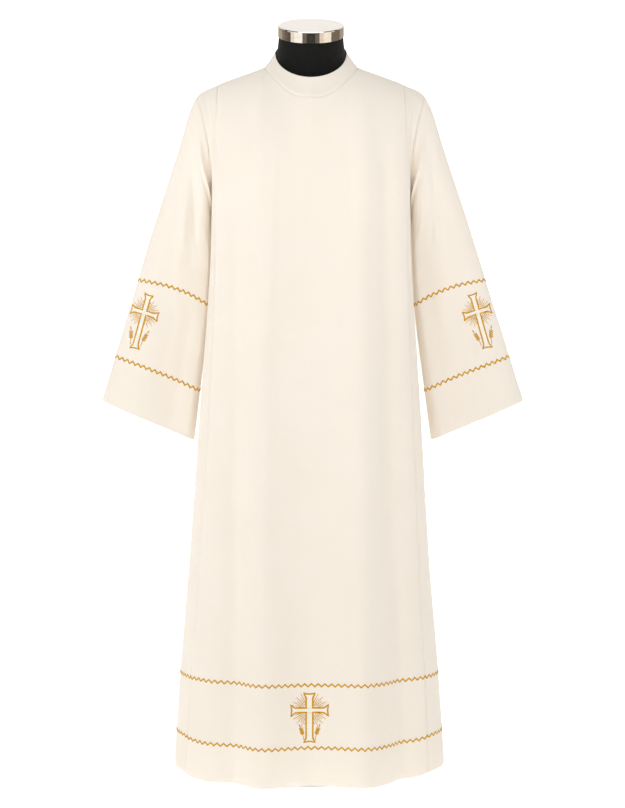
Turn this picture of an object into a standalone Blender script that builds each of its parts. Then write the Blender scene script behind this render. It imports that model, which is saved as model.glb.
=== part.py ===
# Ankle-length alb on a limbless dress form. Metres, +Z up, the front faces -Y.
# The origin is on the floor under the middle of the part's box. Left is -X and right is +X.
# Sizes below are from the middle of the form's base, and the whole is moved to its origin last.
#
# The cloth is two sheets, front and back, each a grid of rows and columns. Rows run level from the
# hem to the armpits and then over the chest to the shoulder line. Columns run from side seam to
# side seam. Panels are cut from these sheets by column, sleeves grow out of the armholes and the
# collar out of the neckline. Every piece is then given its wall.

import math
from collections import namedtuple

import bpy
import bmesh
from mathutils import Matrix, Vector

# Cloth
WALL = 0.0015
SEAM_GAP = 0.0003
LAP = 0.012
LAP_LIFT = WALL + SEAM_GAP

# Heights of the garment
HEM_Z = 0.015
CHEST_Z = 1.130

# Level sections of the body, hem to chest: half width, princess line, depth of front and back,
# where across the depth the section is widest, how far the side hollows in behind that, and how
# far the section hangs to one side.
Level = namedtuple("Level", "z half_width princess front back widest_y hollow sway")
LEVELS = (
    Level(0.015, 0.272, 0.245, 0.194, 0.186, -0.015, 0.000, -0.003),
    Level(0.190, 0.260, 0.235, 0.188, 0.176, -0.020, 0.000, -0.003),
    Level(0.430, 0.240, 0.217, 0.174, 0.160, -0.028, 0.000, -0.003),
    Level(0.670, 0.224, 0.202, 0.158, 0.146, -0.036, 0.010, -0.002),
    Level(0.850, 0.211, 0.194, 0.146, 0.136, -0.040, 0.018, -0.001),
    Level(1.030, 0.199, 0.188, 0.134, 0.126, -0.044, 0.020, 0.000),
    Level(1.130, 0.195, 0.187, 0.128, 0.118, -0.045, 0.001, 0.000),
)
FRONT_SECTION_POWER = 2.3
BACK_SECTION_POWER = 3.0
BACK_PRINCESS_INSET = 0.028
SIDE_SEAM_Y = 0.030
HOLLOW_Y = 0.030
HOLLOW_REACH = 0.045

# Shoulder line from the middle of the neck out to the shoulder point, and the rounding over it.
Shoulder = namedtuple("Shoulder", "x z")
SHOULDER_LINE = (
    Shoulder(0.0000, 1.4500),
    Shoulder(0.0930, 1.4065),
    Shoulder(0.1380, 1.3900),
    Shoulder(0.1820, 1.3740),
    Shoulder(0.2180, 1.3590),
    Shoulder(0.2255, 1.3520),
)
SHOULDER_POINT_X = 0.2255
PRINCESS_TOP = 0.183
FRONT_POWER = 2.1
BACK_POWER = 3.0

# Neckline and the top edge of the collar, as half width and depths seen from above.
NECK_HALF_WIDTH = 0.093
NECK_FRONT = 0.096
NECK_BACK = 0.070
COLLAR_HALF_WIDTH = 0.071
COLLAR_FRONT = 0.073
COLLAR_BACK = 0.070
COLLAR_SIDE_Z = 1.436
COLLAR_FRONT_DROP = 0.050
COLLAR_BACK_RISE = 0.029
COLLAR_BOW = 0.001
COLLAR_ROWS = 3

# Armhole: depth to the front and back of the shoulder point, how fast it draws in from there, and
# how gently it rounds at both ends.
ARMHOLE_FRONT = 0.060
ARMHOLE_BACK = 0.052
ARMHOLE_DRAW = 2.3
ARMHOLE_ROUNDNESS = 1.35

# Sleeve edges from the armhole to the cuff, and half of its depth, which narrows to the inner edge.
Sleeve = namedtuple("Sleeve", "along outer_x outer_z inner_x inner_z outer_y inner_y half_depth")
SLEEVE_EDGES = (
    Sleeve(0.00, 0.2255, 1.352, 0.189, 1.130, 0.000, 0.030, 0.060),
    Sleeve(0.06, 0.2400, 1.322, 0.199, 1.108, 0.003, 0.033, 0.058),
    Sleeve(0.15, 0.2570, 1.267, 0.200, 1.064, 0.007, 0.036, 0.055),
    Sleeve(0.30, 0.2840, 1.183, 0.201, 0.995, 0.014, 0.036, 0.048),
    Sleeve(0.50, 0.3220, 1.063, 0.206, 0.905, 0.022, 0.034, 0.040),
    Sleeve(0.75, 0.3700, 0.904, 0.219, 0.785, 0.028, 0.032, 0.035),
    Sleeve(1.00, 0.4180, 0.745, 0.232, 0.666, 0.030, 0.031, 0.033),
)
SLEEVE_INNER_DEPTH = 0.65
SLEEVE_FIRST_STEP = 0.6
ARMHOLE_HOLD = 3

# How much further each cuff is held out than the table says.
LEFT_SWING = 0.002
RIGHT_SWING = 0.009
SWING_CURVE = 1.5

# Long folds of a sheet. A plus height is a ridge and a minus one a trough. Each is placed and
# sized at the chest, at mid height and at the hem, and neck_share of it lasts up to the neckline.
Fold = namedtuple("Fold", "x_chest x_hem reach_chest reach_hem chest middle hem neck_share")
FRONT_FOLDS = (
    Fold(-0.150, -0.150, 0.020, 0.034, -0.005, -0.006, -0.008, 0.0),
    Fold(-0.092, -0.088, 0.022, 0.040, 0.008, 0.010, 0.018, 0.6),
    Fold(0.000, 0.000, 0.050, 0.045, -0.004, -0.005, -0.008, 0.4),
    Fold(0.080, 0.084, 0.022, 0.038, 0.006, 0.009, 0.017, 0.5),
    Fold(0.122, 0.150, 0.016, 0.026, -0.007, -0.013, -0.009, 0.2),
    Fold(0.172, 0.212, 0.018, 0.040, 0.004, 0.003, -0.022, 0.2),
)
BACK_FOLDS = (
    Fold(-0.128, -0.170, 0.020, 0.038, -0.005, -0.010, -0.014, 0.0),
    Fold(-0.075, -0.098, 0.022, 0.040, 0.006, 0.009, 0.014, 0.3),
    Fold(-0.012, -0.020, 0.026, 0.042, -0.007, -0.011, -0.016, 0.3),
    Fold(0.058, 0.072, 0.022, 0.040, 0.006, 0.010, 0.016, 0.3),
    Fold(0.110, 0.140, 0.020, 0.036, -0.006, -0.009, -0.012, 0.0),
    Fold(0.152, 0.196, 0.018, 0.034, 0.003, 0.005, 0.010, 0.0),
)
MIDDLE_Z = 0.560
NECK_FADE = 1.4
SHOULDER_FADE = 1.6

# Sleeve folds: across is -1 at the inner edge and +1 at the outer one.
SleeveFold = namedtuple("SleeveFold", "across_start across_end start end reach height")
LEFT_FRONT_FOLDS = (
    SleeveFold(0.10, -0.30, 0.04, 0.42, 0.17, -0.010),
    SleeveFold(0.45, -0.05, 0.06, 0.60, 0.18, 0.006),
    SleeveFold(-0.50, -0.45, 0.40, 1.10, 0.20, -0.004),
    SleeveFold(0.20, 0.30, 0.50, 1.10, 0.22, 0.005),
)
RIGHT_FRONT_FOLDS = (
    SleeveFold(0.55, 0.30, 0.05, 0.45, 0.16, -0.008),
    SleeveFold(0.15, 0.05, 0.06, 0.60, 0.18, 0.007),
    SleeveFold(-0.55, -0.50, 0.20, 1.10, 0.22, -0.005),
    SleeveFold(0.30, 0.35, 0.55, 1.10, 0.22, 0.004),
)
SLEEVE_BACK_FOLDS = (
    SleeveFold(0.20, -0.10, 0.05, 0.50, 0.20, -0.007),
    SleeveFold(-0.30, -0.35, 0.30, 1.10, 0.22, 0.005),
    SleeveFold(0.35, 0.30, 0.40, 1.10, 0.20, -0.005),
)

# How finely the cloth is divided
LOWER_ROWS = 15
UPPER_ROWS = 10
NECK_COLUMNS = 8
SHOULDER_COLUMNS = 4
SIDE_COLUMNS = 5
SLEEVE_ROWS = 12
NECK_COLUMN_SHARE = 0.6
DISC_SIDES = 48
POLE_SIDES = 24

# Seams: how squarely an edge may face its neighbour and still be mitred with it, how soon the
# mitre is full, and the least part of the wall's depth that a mitre may keep.
MITRE_FACING = 0.05
MITRE_SPREAD = 3
MITRE_LEAST = 0.5

# Dress form. Its shoulders lie just under the cloth, and elsewhere it is clear of it.
FORM_CLEARANCE = 0.0005
Ring = namedtuple("Ring", "z y half_width front back power tilt")
TORSO_RINGS = (
    Ring(0.740, 0.000, 0.146, 0.084, 0.082, 2.2, 0.0),
    Ring(0.748, 0.000, 0.160, 0.094, 0.092, 2.2, 0.0),
    Ring(0.770, 0.000, 0.168, 0.099, 0.098, 2.2, 0.0),
    Ring(0.850, 0.000, 0.170, 0.102, 0.102, 2.2, 0.0),
    Ring(0.930, 0.000, 0.150, 0.096, 0.090, 2.2, 0.0),
    Ring(1.000, 0.000, 0.134, 0.088, 0.082, 2.2, 0.0),
    Ring(1.080, 0.000, 0.144, 0.098, 0.084, 2.2, 0.0),
    Ring(1.170, 0.000, 0.160, 0.108, 0.092, 2.2, 0.0),
    Ring(1.240, 0.000, 0.167, 0.102, 0.094, 2.1, 0.0),
    Ring(1.300, 0.000, 0.169, 0.084, 0.086, 1.9, 0.0),
    Ring(1.340, 0.000, 0.168, 0.070, 0.076, 1.6, 0.0),
    Ring(1.366, 0.000, 0.165, 0.063, 0.068, 1.4, 0.0),
)
CREST_XS = (0.158, 0.140, 0.120, 0.100)
CREST_FRONT = 0.058
CREST_BACK = 0.058
CREST_POWER = 1.35
NECK_RINGS = (
    Ring(1.4120, -0.003, 0.0780, 0.056, 0.056, 1.6, 0.0),
    Ring(1.4220, -0.004, 0.0690, 0.057, 0.057, 1.9, 2.0),
    Ring(1.4340, -0.005, 0.0675, 0.060, 0.058, 2.0, 5.0),
    Ring(1.4480, -0.007, 0.0655, 0.061, 0.060, 2.0, 11.0),
    Ring(1.4686, -0.006, 0.0635, 0.0635, 0.0635, 2.0, 16.0),
)
FORM_SIDES = 40

CAP_RADIUS = 0.065
CAP_HEIGHT = 0.022
CAP_EDGE = 0.003

POLE_RADIUS = 0.016
BASE_RADIUS = 0.160
BASE_HEIGHT = 0.008
BASE_EDGE = 0.003


def lerp(a, b, t):
    return a + (b - a) * t


def read(table, key, at, column):
    """Value of a column where the key column reaches a given value, along a smooth curve."""
    keys = [getattr(row, key) for row in table]
    values = [getattr(row, column) for row in table]
    if at <= keys[0]:
        return values[0]
    if at >= keys[-1]:
        return values[-1]
    i = max(n for n in range(len(keys) - 1) if keys[n] <= at)
    span = keys[i + 1] - keys[i]
    slope = (values[i + 1] - values[i]) / span
    before = (values[i] - values[i - 1]) / (keys[i] - keys[i - 1]) if i > 0 else slope
    after = slope
    if i + 2 < len(keys):
        after = (values[i + 2] - values[i + 1]) / (keys[i + 2] - keys[i + 1])
    start = (before + slope) / 2 * span
    end = (slope + after) / 2 * span
    t = (at - keys[i]) / span
    rise = values[i + 1] - values[i]
    return values[i] + t * start + t * t * (3 * rise - 2 * start - end) + t ** 3 * (start + end - 2 * rise)


def level(z, column):
    return read(LEVELS, "z", z, column)


def bump(t):
    """1 at the middle, fading to nothing on both sides."""
    return math.exp(-t * t)


def ease(t):
    t = min(max(t, 0.0), 1.0)
    return t * t * (3 - 2 * t)


def section_power(facing):
    return FRONT_SECTION_POWER if facing < 0 else BACK_SECTION_POWER


def section_reach(z, facing):
    """How far the level section at height z goes in front of its widest place, or behind it."""
    if facing < 0:
        return level(z, "front") + level(z, "widest_y")
    return level(z, "back") - level(z, "widest_y")


def section_depth(z, x, facing):
    """Depth y of the level section at height z and x. Facing is -1 for the front, +1 for the back."""
    power = section_power(facing)
    share = max(0.0, 1 - abs(x / level(z, "half_width")) ** power) ** (1 / power)
    return level(z, "widest_y") + facing * section_reach(z, facing) * share


def princess(z, facing):
    """Distance of a princess line from the middle at height z."""
    return level(z, "princess") - (BACK_PRINCESS_INSET if facing > 0 else 0.0)


def side_angle(z, facing):
    """Angle of a princess line on the level section, from its widest point."""
    share = princess(z, facing) / level(z, "half_width")
    return -facing * math.acos(share ** (section_power(facing) / 2))


def side_point(z, angle, side):
    """Point of the level section by its angle: 0 at the widest, plus to the front, minus to the back."""
    facing = -1 if angle > 0 else 1
    power = section_power(facing)
    y = level(z, "widest_y") + facing * section_reach(z, facing) * abs(math.sin(angle)) ** (2 / power)
    x = level(z, "half_width") * math.cos(angle) ** (2 / power)
    x -= level(z, "hollow") * bump((y - HOLLOW_Y) / HOLLOW_REACH)
    return Vector((side * x, y, z))


def seam_angle(z):
    """Angle of the side seam on the level section."""
    share = (SIDE_SEAM_Y - level(z, "widest_y")) / section_reach(z, 1)
    return -math.asin(share ** (BACK_SECTION_POWER / 2))


def column_shares():
    """Shares of the way from the middle of a panel to its lap line, for the columns of one half."""
    neck = [NECK_COLUMN_SHARE * n / NECK_COLUMNS for n in range(NECK_COLUMNS)]
    shoulder = [lerp(NECK_COLUMN_SHARE, 1.0, n / SHOULDER_COLUMNS) for n in range(SHOULDER_COLUMNS + 1)]
    return neck + shoulder


def lower_half_row(z, facing, side):
    """One side of one level row, from the middle of the panel out to the side seam."""
    line = princess(z, facing)
    row = [Vector((side * share * (line - LAP), 0, z)) for share in column_shares()]
    row.append(Vector((side * line, 0, z)))
    for point in row:
        point.y = section_depth(z, point.x, facing)
        point.x -= side * level(z, "hollow") * bump((point.y - HOLLOW_Y) / HOLLOW_REACH)
    start = side_angle(z, facing)
    end = seam_angle(z)
    row += [side_point(z, lerp(start, end, n / SIDE_COLUMNS), side) for n in range(1, SIDE_COLUMNS + 1)]
    return row


def over_shoulder(x, angle, facing):
    """Point on the curve that rises from the chest section over to the shoulder line."""
    power = FRONT_POWER if facing < 0 else BACK_POWER
    top = read(SHOULDER_LINE, "x", abs(x), "z")
    depth = section_depth(CHEST_Z, x, facing)
    y = depth * math.cos(angle) ** (2 / power)
    z = lerp(CHEST_Z, top, math.sin(angle) ** (2 / power))
    return Vector((x, y, z))


def top_of_column(n):
    """Where column n of one half ends: the x there, and its place along the neckline or None."""
    if n <= NECK_COLUMNS:
        return NECK_HALF_WIDTH * math.sin(math.pi / 2 * n / NECK_COLUMNS), n / NECK_COLUMNS
    share = (n - NECK_COLUMNS) / SHOULDER_COLUMNS
    if share <= 1:
        return lerp(NECK_HALF_WIDTH, PRINCESS_TOP - LAP, share), None
    return PRINCESS_TOP, None


def top_angle(x, place, facing):
    """How far over the shoulder curve a column runs: all the way, or to the neckline."""
    if place is None:
        return math.pi / 2
    power = FRONT_POWER if facing < 0 else BACK_POWER
    depth = (NECK_FRONT if facing < 0 else NECK_BACK) * math.cos(math.pi / 2 * place)
    share = abs(depth / section_depth(CHEST_Z, x, facing))
    return math.acos(min(1.0, share) ** (power / 2))


def chest_side_x(y):
    """Half width of the chest section at depth y, on its sides."""
    from_widest = y - level(CHEST_Z, "widest_y")
    facing = -1 if from_widest < 0 else 1
    power = section_power(facing)
    share = abs(from_widest / section_reach(CHEST_Z, facing))
    return level(CHEST_Z, "half_width") * (1 - share ** power) ** (1 / power)


def armhole_point(turn, facing, side):
    """Point of the armhole: turn 0 is the armpit and 1 the shoulder point."""
    foot = side_point(CHEST_Z, seam_angle(CHEST_Z), 1)
    top_z = read(SHOULDER_LINE, "x", SHOULDER_POINT_X, "z")
    rise = (1 - math.cos(math.pi * turn)) / 2
    depth = ARMHOLE_FRONT if facing < 0 else ARMHOLE_BACK
    y = lerp(foot.y, 0.0, rise) + facing * depth * math.sin(math.pi * turn) ** ARMHOLE_ROUNDNESS
    out = chest_side_x(y) - chest_side_x(foot.y) if facing < 0 else 0.0
    x = lerp(foot.x + out, SHOULDER_POINT_X, rise ** ARMHOLE_DRAW)
    return Vector((side * x, y, lerp(foot.z, top_z, rise)))


def shoulder_strip(princess_point, edge, share, chest_row, turn):
    """Point of a side panel above the armpit, between the princess line and the armhole."""
    point = princess_point.lerp(edge, share)
    chest = chest_row[round(share * SIDE_COLUMNS)] - chest_row[0].lerp(chest_row[-1], share)
    top_z = read(SHOULDER_LINE, "x", abs(point.x), "z")
    crown = Vector((0, 0, top_z - point.z)) if turn >= 1 else Vector()
    return point + chest * (1 - turn) ** 2 + crown


def upper_half_row(row, facing, side):
    """One side of one row above the armpits, from the middle out to the armhole."""
    turn = row / UPPER_ROWS
    chest_row = lower_half_row(CHEST_Z, facing, side)
    inner = []
    for n in range(NECK_COLUMNS + SHOULDER_COLUMNS + 2):
        x_top, place = top_of_column(n)
        reach = top_angle(x_top, place, facing)
        x = lerp(abs(chest_row[n].x), x_top, ease(turn))
        inner.append(over_shoulder(side * x, reach * turn, facing))
    edge = armhole_point(turn, facing, side)
    strip = [shoulder_strip(inner[-1], edge, n / SIDE_COLUMNS, chest_row[-SIDE_COLUMNS - 1:], turn)
             for n in range(1, SIDE_COLUMNS + 1)]
    return inner + strip


def fold_height(folds, x, z):
    """How far the folds of a sheet lift or sink it at x and z."""
    held_z = min(z, CHEST_Z)
    down = (CHEST_Z - held_z) / (CHEST_Z - HEM_Z)
    rise = (z - held_z) / (SHOULDER_LINE[0].z - CHEST_Z)
    total = 0.0
    for fold in folds:
        middle = lerp(fold.x_chest, fold.x_hem, down)
        reach = lerp(fold.reach_chest, fold.reach_hem, down)
        if held_z > MIDDLE_Z:
            height = lerp(fold.middle, fold.chest, (held_z - MIDDLE_Z) / (CHEST_Z - MIDDLE_Z))
        else:
            height = lerp(fold.hem, fold.middle, (held_z - HEM_Z) / (MIDDLE_Z - HEM_Z))
        height *= lerp(1.0, fold.neck_share, ease(rise * NECK_FADE))
        total += height * bump((x - middle) / reach)
    return total


def make_sheet(facing, folds):
    """Grid of points of the front or back sheet, row by row, from left seam to right seam."""
    rows = []
    for n in range(LOWER_ROWS + 1):
        z = lerp(HEM_Z, CHEST_Z, n / LOWER_ROWS)
        sway = Vector((level(z, "sway"), 0, 0))
        rows.append([[point + sway for point in lower_half_row(z, facing, side)] for side in (-1, 1)])
    for n in range(1, UPPER_ROWS + 1):
        rows.append([upper_half_row(n, facing, -1), upper_half_row(n, facing, 1)])
    grid = [left[:0:-1] + right for left, right in rows]
    lift_folds(grid, facing, folds)
    return grid


def lift_folds(grid, facing, folds):
    """Move the sheet's points along its own normals by the folds, none at its side and top edges."""
    normals = grid_normals(grid, facing)
    last = len(grid[0]) - 1
    for r, row in enumerate(grid):
        to_top = (len(grid) - 1 - r) / UPPER_ROWS
        held = ease(to_top * SHOULDER_FADE)
        for c, point in enumerate(row):
            from_edge = min(c, last - c)
            free = ease(from_edge / SIDE_COLUMNS)
            row[c] = point + normals[r][c] * fold_height(folds, point.x, point.z) * free * held


def grid_normals(grid, facing, around=False):
    """Outward normals of a grid. Facing -1 suits rows that run from left to right seen from outside."""
    normals = []
    high = len(grid) - 1
    wide = len(grid[0])
    for r in range(len(grid)):
        line = []
        for c in range(wide):
            before = (c - 1) % wide if around else max(c - 1, 0)
            after = (c + 1) % wide if around else min(c + 1, wide - 1)
            across = grid[r][after] - grid[r][before]
            along = grid[min(r + 1, high)][c] - grid[max(r - 1, 0)][c]
            line.append((across.cross(along) * -facing).normalized())
        normals.append(line)
    return normals


class Cloth:
    """A piece of cloth: its grid of outer points, the normals there and the depth of its wall."""

    def __init__(self, name, grid, normals, around=False, flip=False):
        self.name = name
        self.grid = grid
        self.normals = normals
        self.around = around
        self.flip = flip
        self.depths = [[normal * -WALL for normal in line] for line in normals]

    def size(self):
        return len(self.grid), len(self.grid[0])

    def edge_places(self):
        """Row and column of each edge point, with the direction from it into the piece."""
        high, wide = self.size()
        for r in range(high):
            for c in range(wide):
                inward = Vector()
                if r == 0:
                    inward += (self.grid[1][c] - self.grid[0][c]).normalized()
                if r == high - 1:
                    inward += (self.grid[r - 1][c] - self.grid[r][c]).normalized()
                if not self.around and c == 0:
                    inward += (self.grid[r][1] - self.grid[r][0]).normalized()
                if not self.around and c == wide - 1:
                    inward += (self.grid[r][c - 1] - self.grid[r][c]).normalized()
                if inward.length > 0:
                    yield r, c, inward.normalized()


def share_edge_normals(front, front_normals, back, back_normals):
    """Give the front and back sheets one normal wherever their edges meet."""
    top = len(front) - 1
    last = len(front[0]) - 1
    places = [(top, c) for c in range(last + 1)]
    places += [(r, c) for r in range(top) for c in (0, last)]
    for r, c in places:
        if (front[r][c] - back[r][c]).length < 1e-6:
            shared = (front_normals[r][c] + back_normals[r][c]).normalized()
            front_normals[r][c] = shared
            back_normals[r][c] = shared


def part_seams(pieces):
    """Open a gap where edges of different pieces meet, and mitre their walls there."""
    meetings = {}
    for piece in pieces:
        for r, c, inward in piece.edge_places():
            key = tuple(round(value, 5) for value in piece.grid[r][c])
            meetings.setdefault(key, []).append((piece, r, c, piece.normals[r][c], inward))
    for group in meetings.values():
        if len({id(entry[0]) for entry in group}) < 2:
            continue
        for piece, r, c, normal, inward in group:
            others = [entry for entry in group if entry[0] is not piece]
            away = Vector()
            total = normal.copy()
            for _, _, _, other_normal, other_inward in others:
                away += inward - other_inward
                if normal.dot(other_inward) < MITRE_FACING:
                    total += other_normal * ease(normal.dot(other_normal) * MITRE_SPREAD)
            mitre = total.normalized()
            reach = max(mitre.dot(normal), MITRE_LEAST)
            piece.depths[r][c] = mitre * (-WALL / reach)
            piece.grid[r][c] = piece.grid[r][c] + away.normalized() * (SEAM_GAP / 2)


def build_wall(piece, material):
    """Turn a piece into a closed solid: outer side, inner side and the rims between them."""
    high, wide = piece.size()
    mesh = bmesh.new()
    outer = [[mesh.verts.new(point) for point in line] for line in piece.grid]
    inner = [[mesh.verts.new(point + depth) for point, depth in zip(line, depths)]
             for line, depths in zip(piece.grid, piece.depths)]
    spans = wide if piece.around else wide - 1

    def add_face(*corners):
        mesh.faces.new(corners[::-1] if piece.flip else corners)

    def add_cell(side, r, c, turned):
        """Two triangles whose shared edge runs alike on both sides of the wearer."""
        d = (c + 1) % wide
        corners = [side[r][c], side[r][d], side[r + 1][d], side[r + 1][c]]
        if not piece.around and corners[0].co.x + corners[1].co.x < 0:
            corners = corners[1:] + corners[:1]
        for triangle in (corners[:3], [corners[0], corners[2], corners[3]]):
            add_face(*(triangle[::-1] if turned else triangle))

    for r in range(high - 1):
        for c in range(spans):
            add_cell(outer, r, c, turned=False)
            add_cell(inner, r, c, turned=True)
    for c in range(spans):
        d = (c + 1) % wide
        add_face(outer[0][d], outer[0][c], inner[0][c])
        add_face(outer[0][d], inner[0][c], inner[0][d])
        add_face(outer[-1][c], outer[-1][d], inner[-1][d])
        add_face(outer[-1][c], inner[-1][d], inner[-1][c])
    if not piece.around:
        for r in range(high - 1):
            add_face(outer[r][0], outer[r + 1][0], inner[r + 1][0])
            add_face(outer[r][0], inner[r + 1][0], inner[r][0])
            add_face(outer[r + 1][-1], outer[r][-1], inner[r][-1])
            add_face(outer[r + 1][-1], inner[r][-1], inner[r + 1][-1])
    return finish_mesh(piece.name, mesh, material)


def finish_mesh(name, mesh, material):
    data = bpy.data.meshes.new(name)
    mesh.to_mesh(data)
    mesh.free()
    data.materials.append(material)
    data.shade_smooth()
    thing = bpy.data.objects.new(name, data)
    bpy.context.scene.collection.objects.link(thing)
    return thing


def make_material(name, colour, roughness, metallic=0.0):
    material = bpy.data.materials.new(name)
    material.use_nodes = True
    shader = material.node_tree.nodes["Principled BSDF"]
    shader.inputs["Base Color"].default_value = (*colour, 1.0)
    shader.inputs["Roughness"].default_value = roughness
    shader.inputs["Metallic"].default_value = metallic
    return material


def cut_panel(name, grid, normals, first, last, lift, flip):
    """A panel cut from a sheet by its columns, lifted off it where it laps over its neighbours."""
    rows = [[point + normal * lift for point, normal in zip(line[first:last + 1], ends[first:last + 1])]
            for line, ends in zip(grid, normals)]
    return Cloth(name, rows, [line[first:last + 1] for line in normals], flip=flip)


def make_panels(grid, normals, words, flip):
    """Centre panel and both side panels of a sheet. Words are the centre's and the sides' names."""
    last = len(grid[0]) - 1
    centre, sides = words
    return [
        cut_panel(centre, grid, normals, SIDE_COLUMNS, last - SIDE_COLUMNS, LAP_LIFT, flip),
        cut_panel(sides + "_left", grid, normals, 0, SIDE_COLUMNS + 1, 0.0, flip),
        cut_panel(sides + "_right", grid, normals, last - SIDE_COLUMNS - 1, last, 0.0, flip),
    ]


def sleeve_fold_height(folds, across, along):
    total = 0.0
    for fold in folds:
        share = (along - fold.start) / (fold.end - fold.start)
        if 0 < share < 1:
            strength = math.sin(math.pi * share) if fold.end <= 1 else ease(share * 2.5)
            middle = lerp(fold.across_start, fold.across_end, share)
            total += fold.height * strength * bump((across - middle) / fold.reach)
    return total


def sleeve_place(row):
    """Share of the sleeve's length at a row, with the rows closer together near the armhole."""
    share = row / SLEEVE_ROWS
    return share * lerp(SLEEVE_FIRST_STEP, 1.0, share)


def sleeve_point(along, turn, facing, side):
    """Point of a sleeve on a smooth ring between its two edges. Turn is as on the armhole."""
    inner = Vector([read(SLEEVE_EDGES, "along", along, "inner_" + axis) for axis in "xyz"])
    outer = Vector([read(SLEEVE_EDGES, "along", along, "outer_" + axis) for axis in "xyz"])
    share = (1 - math.cos(math.pi * turn)) / 2
    point = inner.lerp(outer, share)
    depth = read(SLEEVE_EDGES, "along", along, "half_depth") * lerp(SLEEVE_INNER_DEPTH, 1.0, share)
    point.y += facing * depth * math.sin(math.pi * turn)
    point.x *= side
    return point


def make_sleeve(name, side, swing, front_folds):
    """Sleeve from its armhole to its cuff, each row running down the front and up the back."""
    places = [(1 - n / UPPER_ROWS, -1) for n in range(UPPER_ROWS)]
    places += [(n / UPPER_ROWS, 1) for n in range(UPPER_ROWS)]
    grid = []
    alongs = [sleeve_place(row) for row in range(SLEEVE_ROWS + 1)]
    for along in alongs:
        line = []
        for turn, facing in places:
            shift = armhole_point(turn, facing, side) - sleeve_point(0.0, turn, facing, side)
            swung = Vector((side * swing * along ** SWING_CURVE, 0, 0))
            held = (1 - along) ** ARMHOLE_HOLD
            line.append(sleeve_point(along, turn, facing, side) + shift * held + swung)
        grid.append(line)
    facing_out = -side
    normals = grid_normals(grid, facing_out, around=True)
    for row in range(1, SLEEVE_ROWS + 1):
        for c, (turn, facing) in enumerate(places):
            folds = front_folds if facing < 0 else SLEEVE_BACK_FOLDS
            across = -math.cos(math.pi * turn)
            free = math.sin(math.pi * turn)
            grid[row][c] += normals[row][c] * sleeve_fold_height(folds, across, alongs[row]) * free
    normals = grid_normals(grid, facing_out, around=True)
    return Cloth(name, grid, normals, around=True, flip=side < 0)


def make_collar(front, back):
    """Collar band that stands on the neckline of the front and back panels."""
    middle = (len(front.grid[0]) - 1) // 2
    front_edge = front.grid[-1][middle - NECK_COLUMNS:middle + NECK_COLUMNS + 1]
    back_edge = back.grid[-1][middle - NECK_COLUMNS:middle + NECK_COLUMNS + 1]
    foot = front_edge + back_edge[-2:0:-1]
    count = len(foot)
    grid = []
    for row in range(COLLAR_ROWS + 1):
        share = row / COLLAR_ROWS
        line = []
        for c in range(count):
            angle = 2 * math.pi * c / count - math.pi / 2
            to_front = math.cos(angle)
            in_front = to_front > 0
            x = COLLAR_HALF_WIDTH * math.sin(angle)
            y = -to_front * (COLLAR_FRONT if in_front else COLLAR_BACK)
            z = COLLAR_SIDE_Z - to_front * (COLLAR_FRONT_DROP if in_front else COLLAR_BACK_RISE)
            top = Vector((x, y, z))
            point = foot[c].lerp(top, share)
            draw_in = Vector((x, y, 0)).normalized() * COLLAR_BOW * math.sin(math.pi * share)
            line.append(point - draw_in)
        grid.append(line)
    return Cloth("collar", grid, grid_normals(grid, -1, around=True), around=True)


def superellipse(angle, half_width, front, back, power):
    """Point of a level ring seen from above, from its angle."""
    x = math.copysign(half_width * abs(math.cos(angle)) ** (2 / power), math.cos(angle))
    depth = front if math.sin(angle) < 0 else back
    y = math.copysign(depth * abs(math.sin(angle)) ** (2 / power), math.sin(angle))
    return x, y


def crest_rings():
    """Rings that carry the shoulders of the form just under the shoulder line of the cloth."""
    rings = []
    for x in CREST_XS:
        z = read(SHOULDER_LINE, "x", x, "z") - FORM_CLEARANCE
        rings.append(Ring(z, 0.0, x, CREST_FRONT, CREST_BACK, CREST_POWER, 0.0))
    return tuple(rings)


def make_torso(material):
    """Limbless form from its hips to its neck, lofted through rings and closed at both ends."""
    mesh = bmesh.new()
    loops = []
    for ring in TORSO_RINGS + crest_rings() + NECK_RINGS:
        lean = Matrix.Rotation(math.radians(ring.tilt), 4, "X")
        loop = []
        for n in range(FORM_SIDES):
            angle = 2 * math.pi * n / FORM_SIDES
            x, y = superellipse(angle, ring.half_width, ring.front, ring.back, ring.power)
            loop.append(mesh.verts.new(lean @ Vector((x, y, 0)) + Vector((0, ring.y, ring.z))))
        loops.append(loop)
    for lower, upper in zip(loops, loops[1:]):
        for n in range(FORM_SIDES):
            m = (n + 1) % FORM_SIDES
            mesh.faces.new((lower[n], lower[m], upper[m], upper[n]))
    mesh.faces.new(loops[0][::-1])
    mesh.faces.new(loops[-1])
    bmesh.ops.triangulate(mesh, faces=mesh.faces[:])
    return finish_mesh("torso", mesh, material)


def make_disc(name, radius, height, edge, sides, material):
    """Round plate with its top edge eased, standing on its own origin."""
    mesh = bmesh.new()
    bmesh.ops.create_cone(mesh, cap_ends=True, segments=sides, radius1=radius, radius2=radius, depth=height)
    bmesh.ops.translate(mesh, verts=mesh.verts[:], vec=(0, 0, height / 2))
    if edge > 0:
        rim = [e for e in mesh.edges if all(v.co.z > height * 0.99 for v in e.verts)]
        bmesh.ops.bevel(mesh, geom=rim, offset=edge, segments=3, affect="EDGES", profile=0.5)
    thing = finish_mesh(name, mesh, material)
    thing.data.set_sharp_from_angle(angle=math.radians(40))
    return thing


def centre_on_origin():
    """Move everything so that the origin is under the middle of the box around it."""
    bpy.context.view_layer.update()
    corners = []
    for thing in bpy.data.objects:
        corners += [thing.matrix_world @ vertex.co for vertex in thing.data.vertices]
    middle = [(min(c[axis] for c in corners) + max(c[axis] for c in corners)) / 2 for axis in (0, 1)]
    for thing in bpy.data.objects:
        thing.location -= Vector((middle[0], middle[1], 0))


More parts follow.
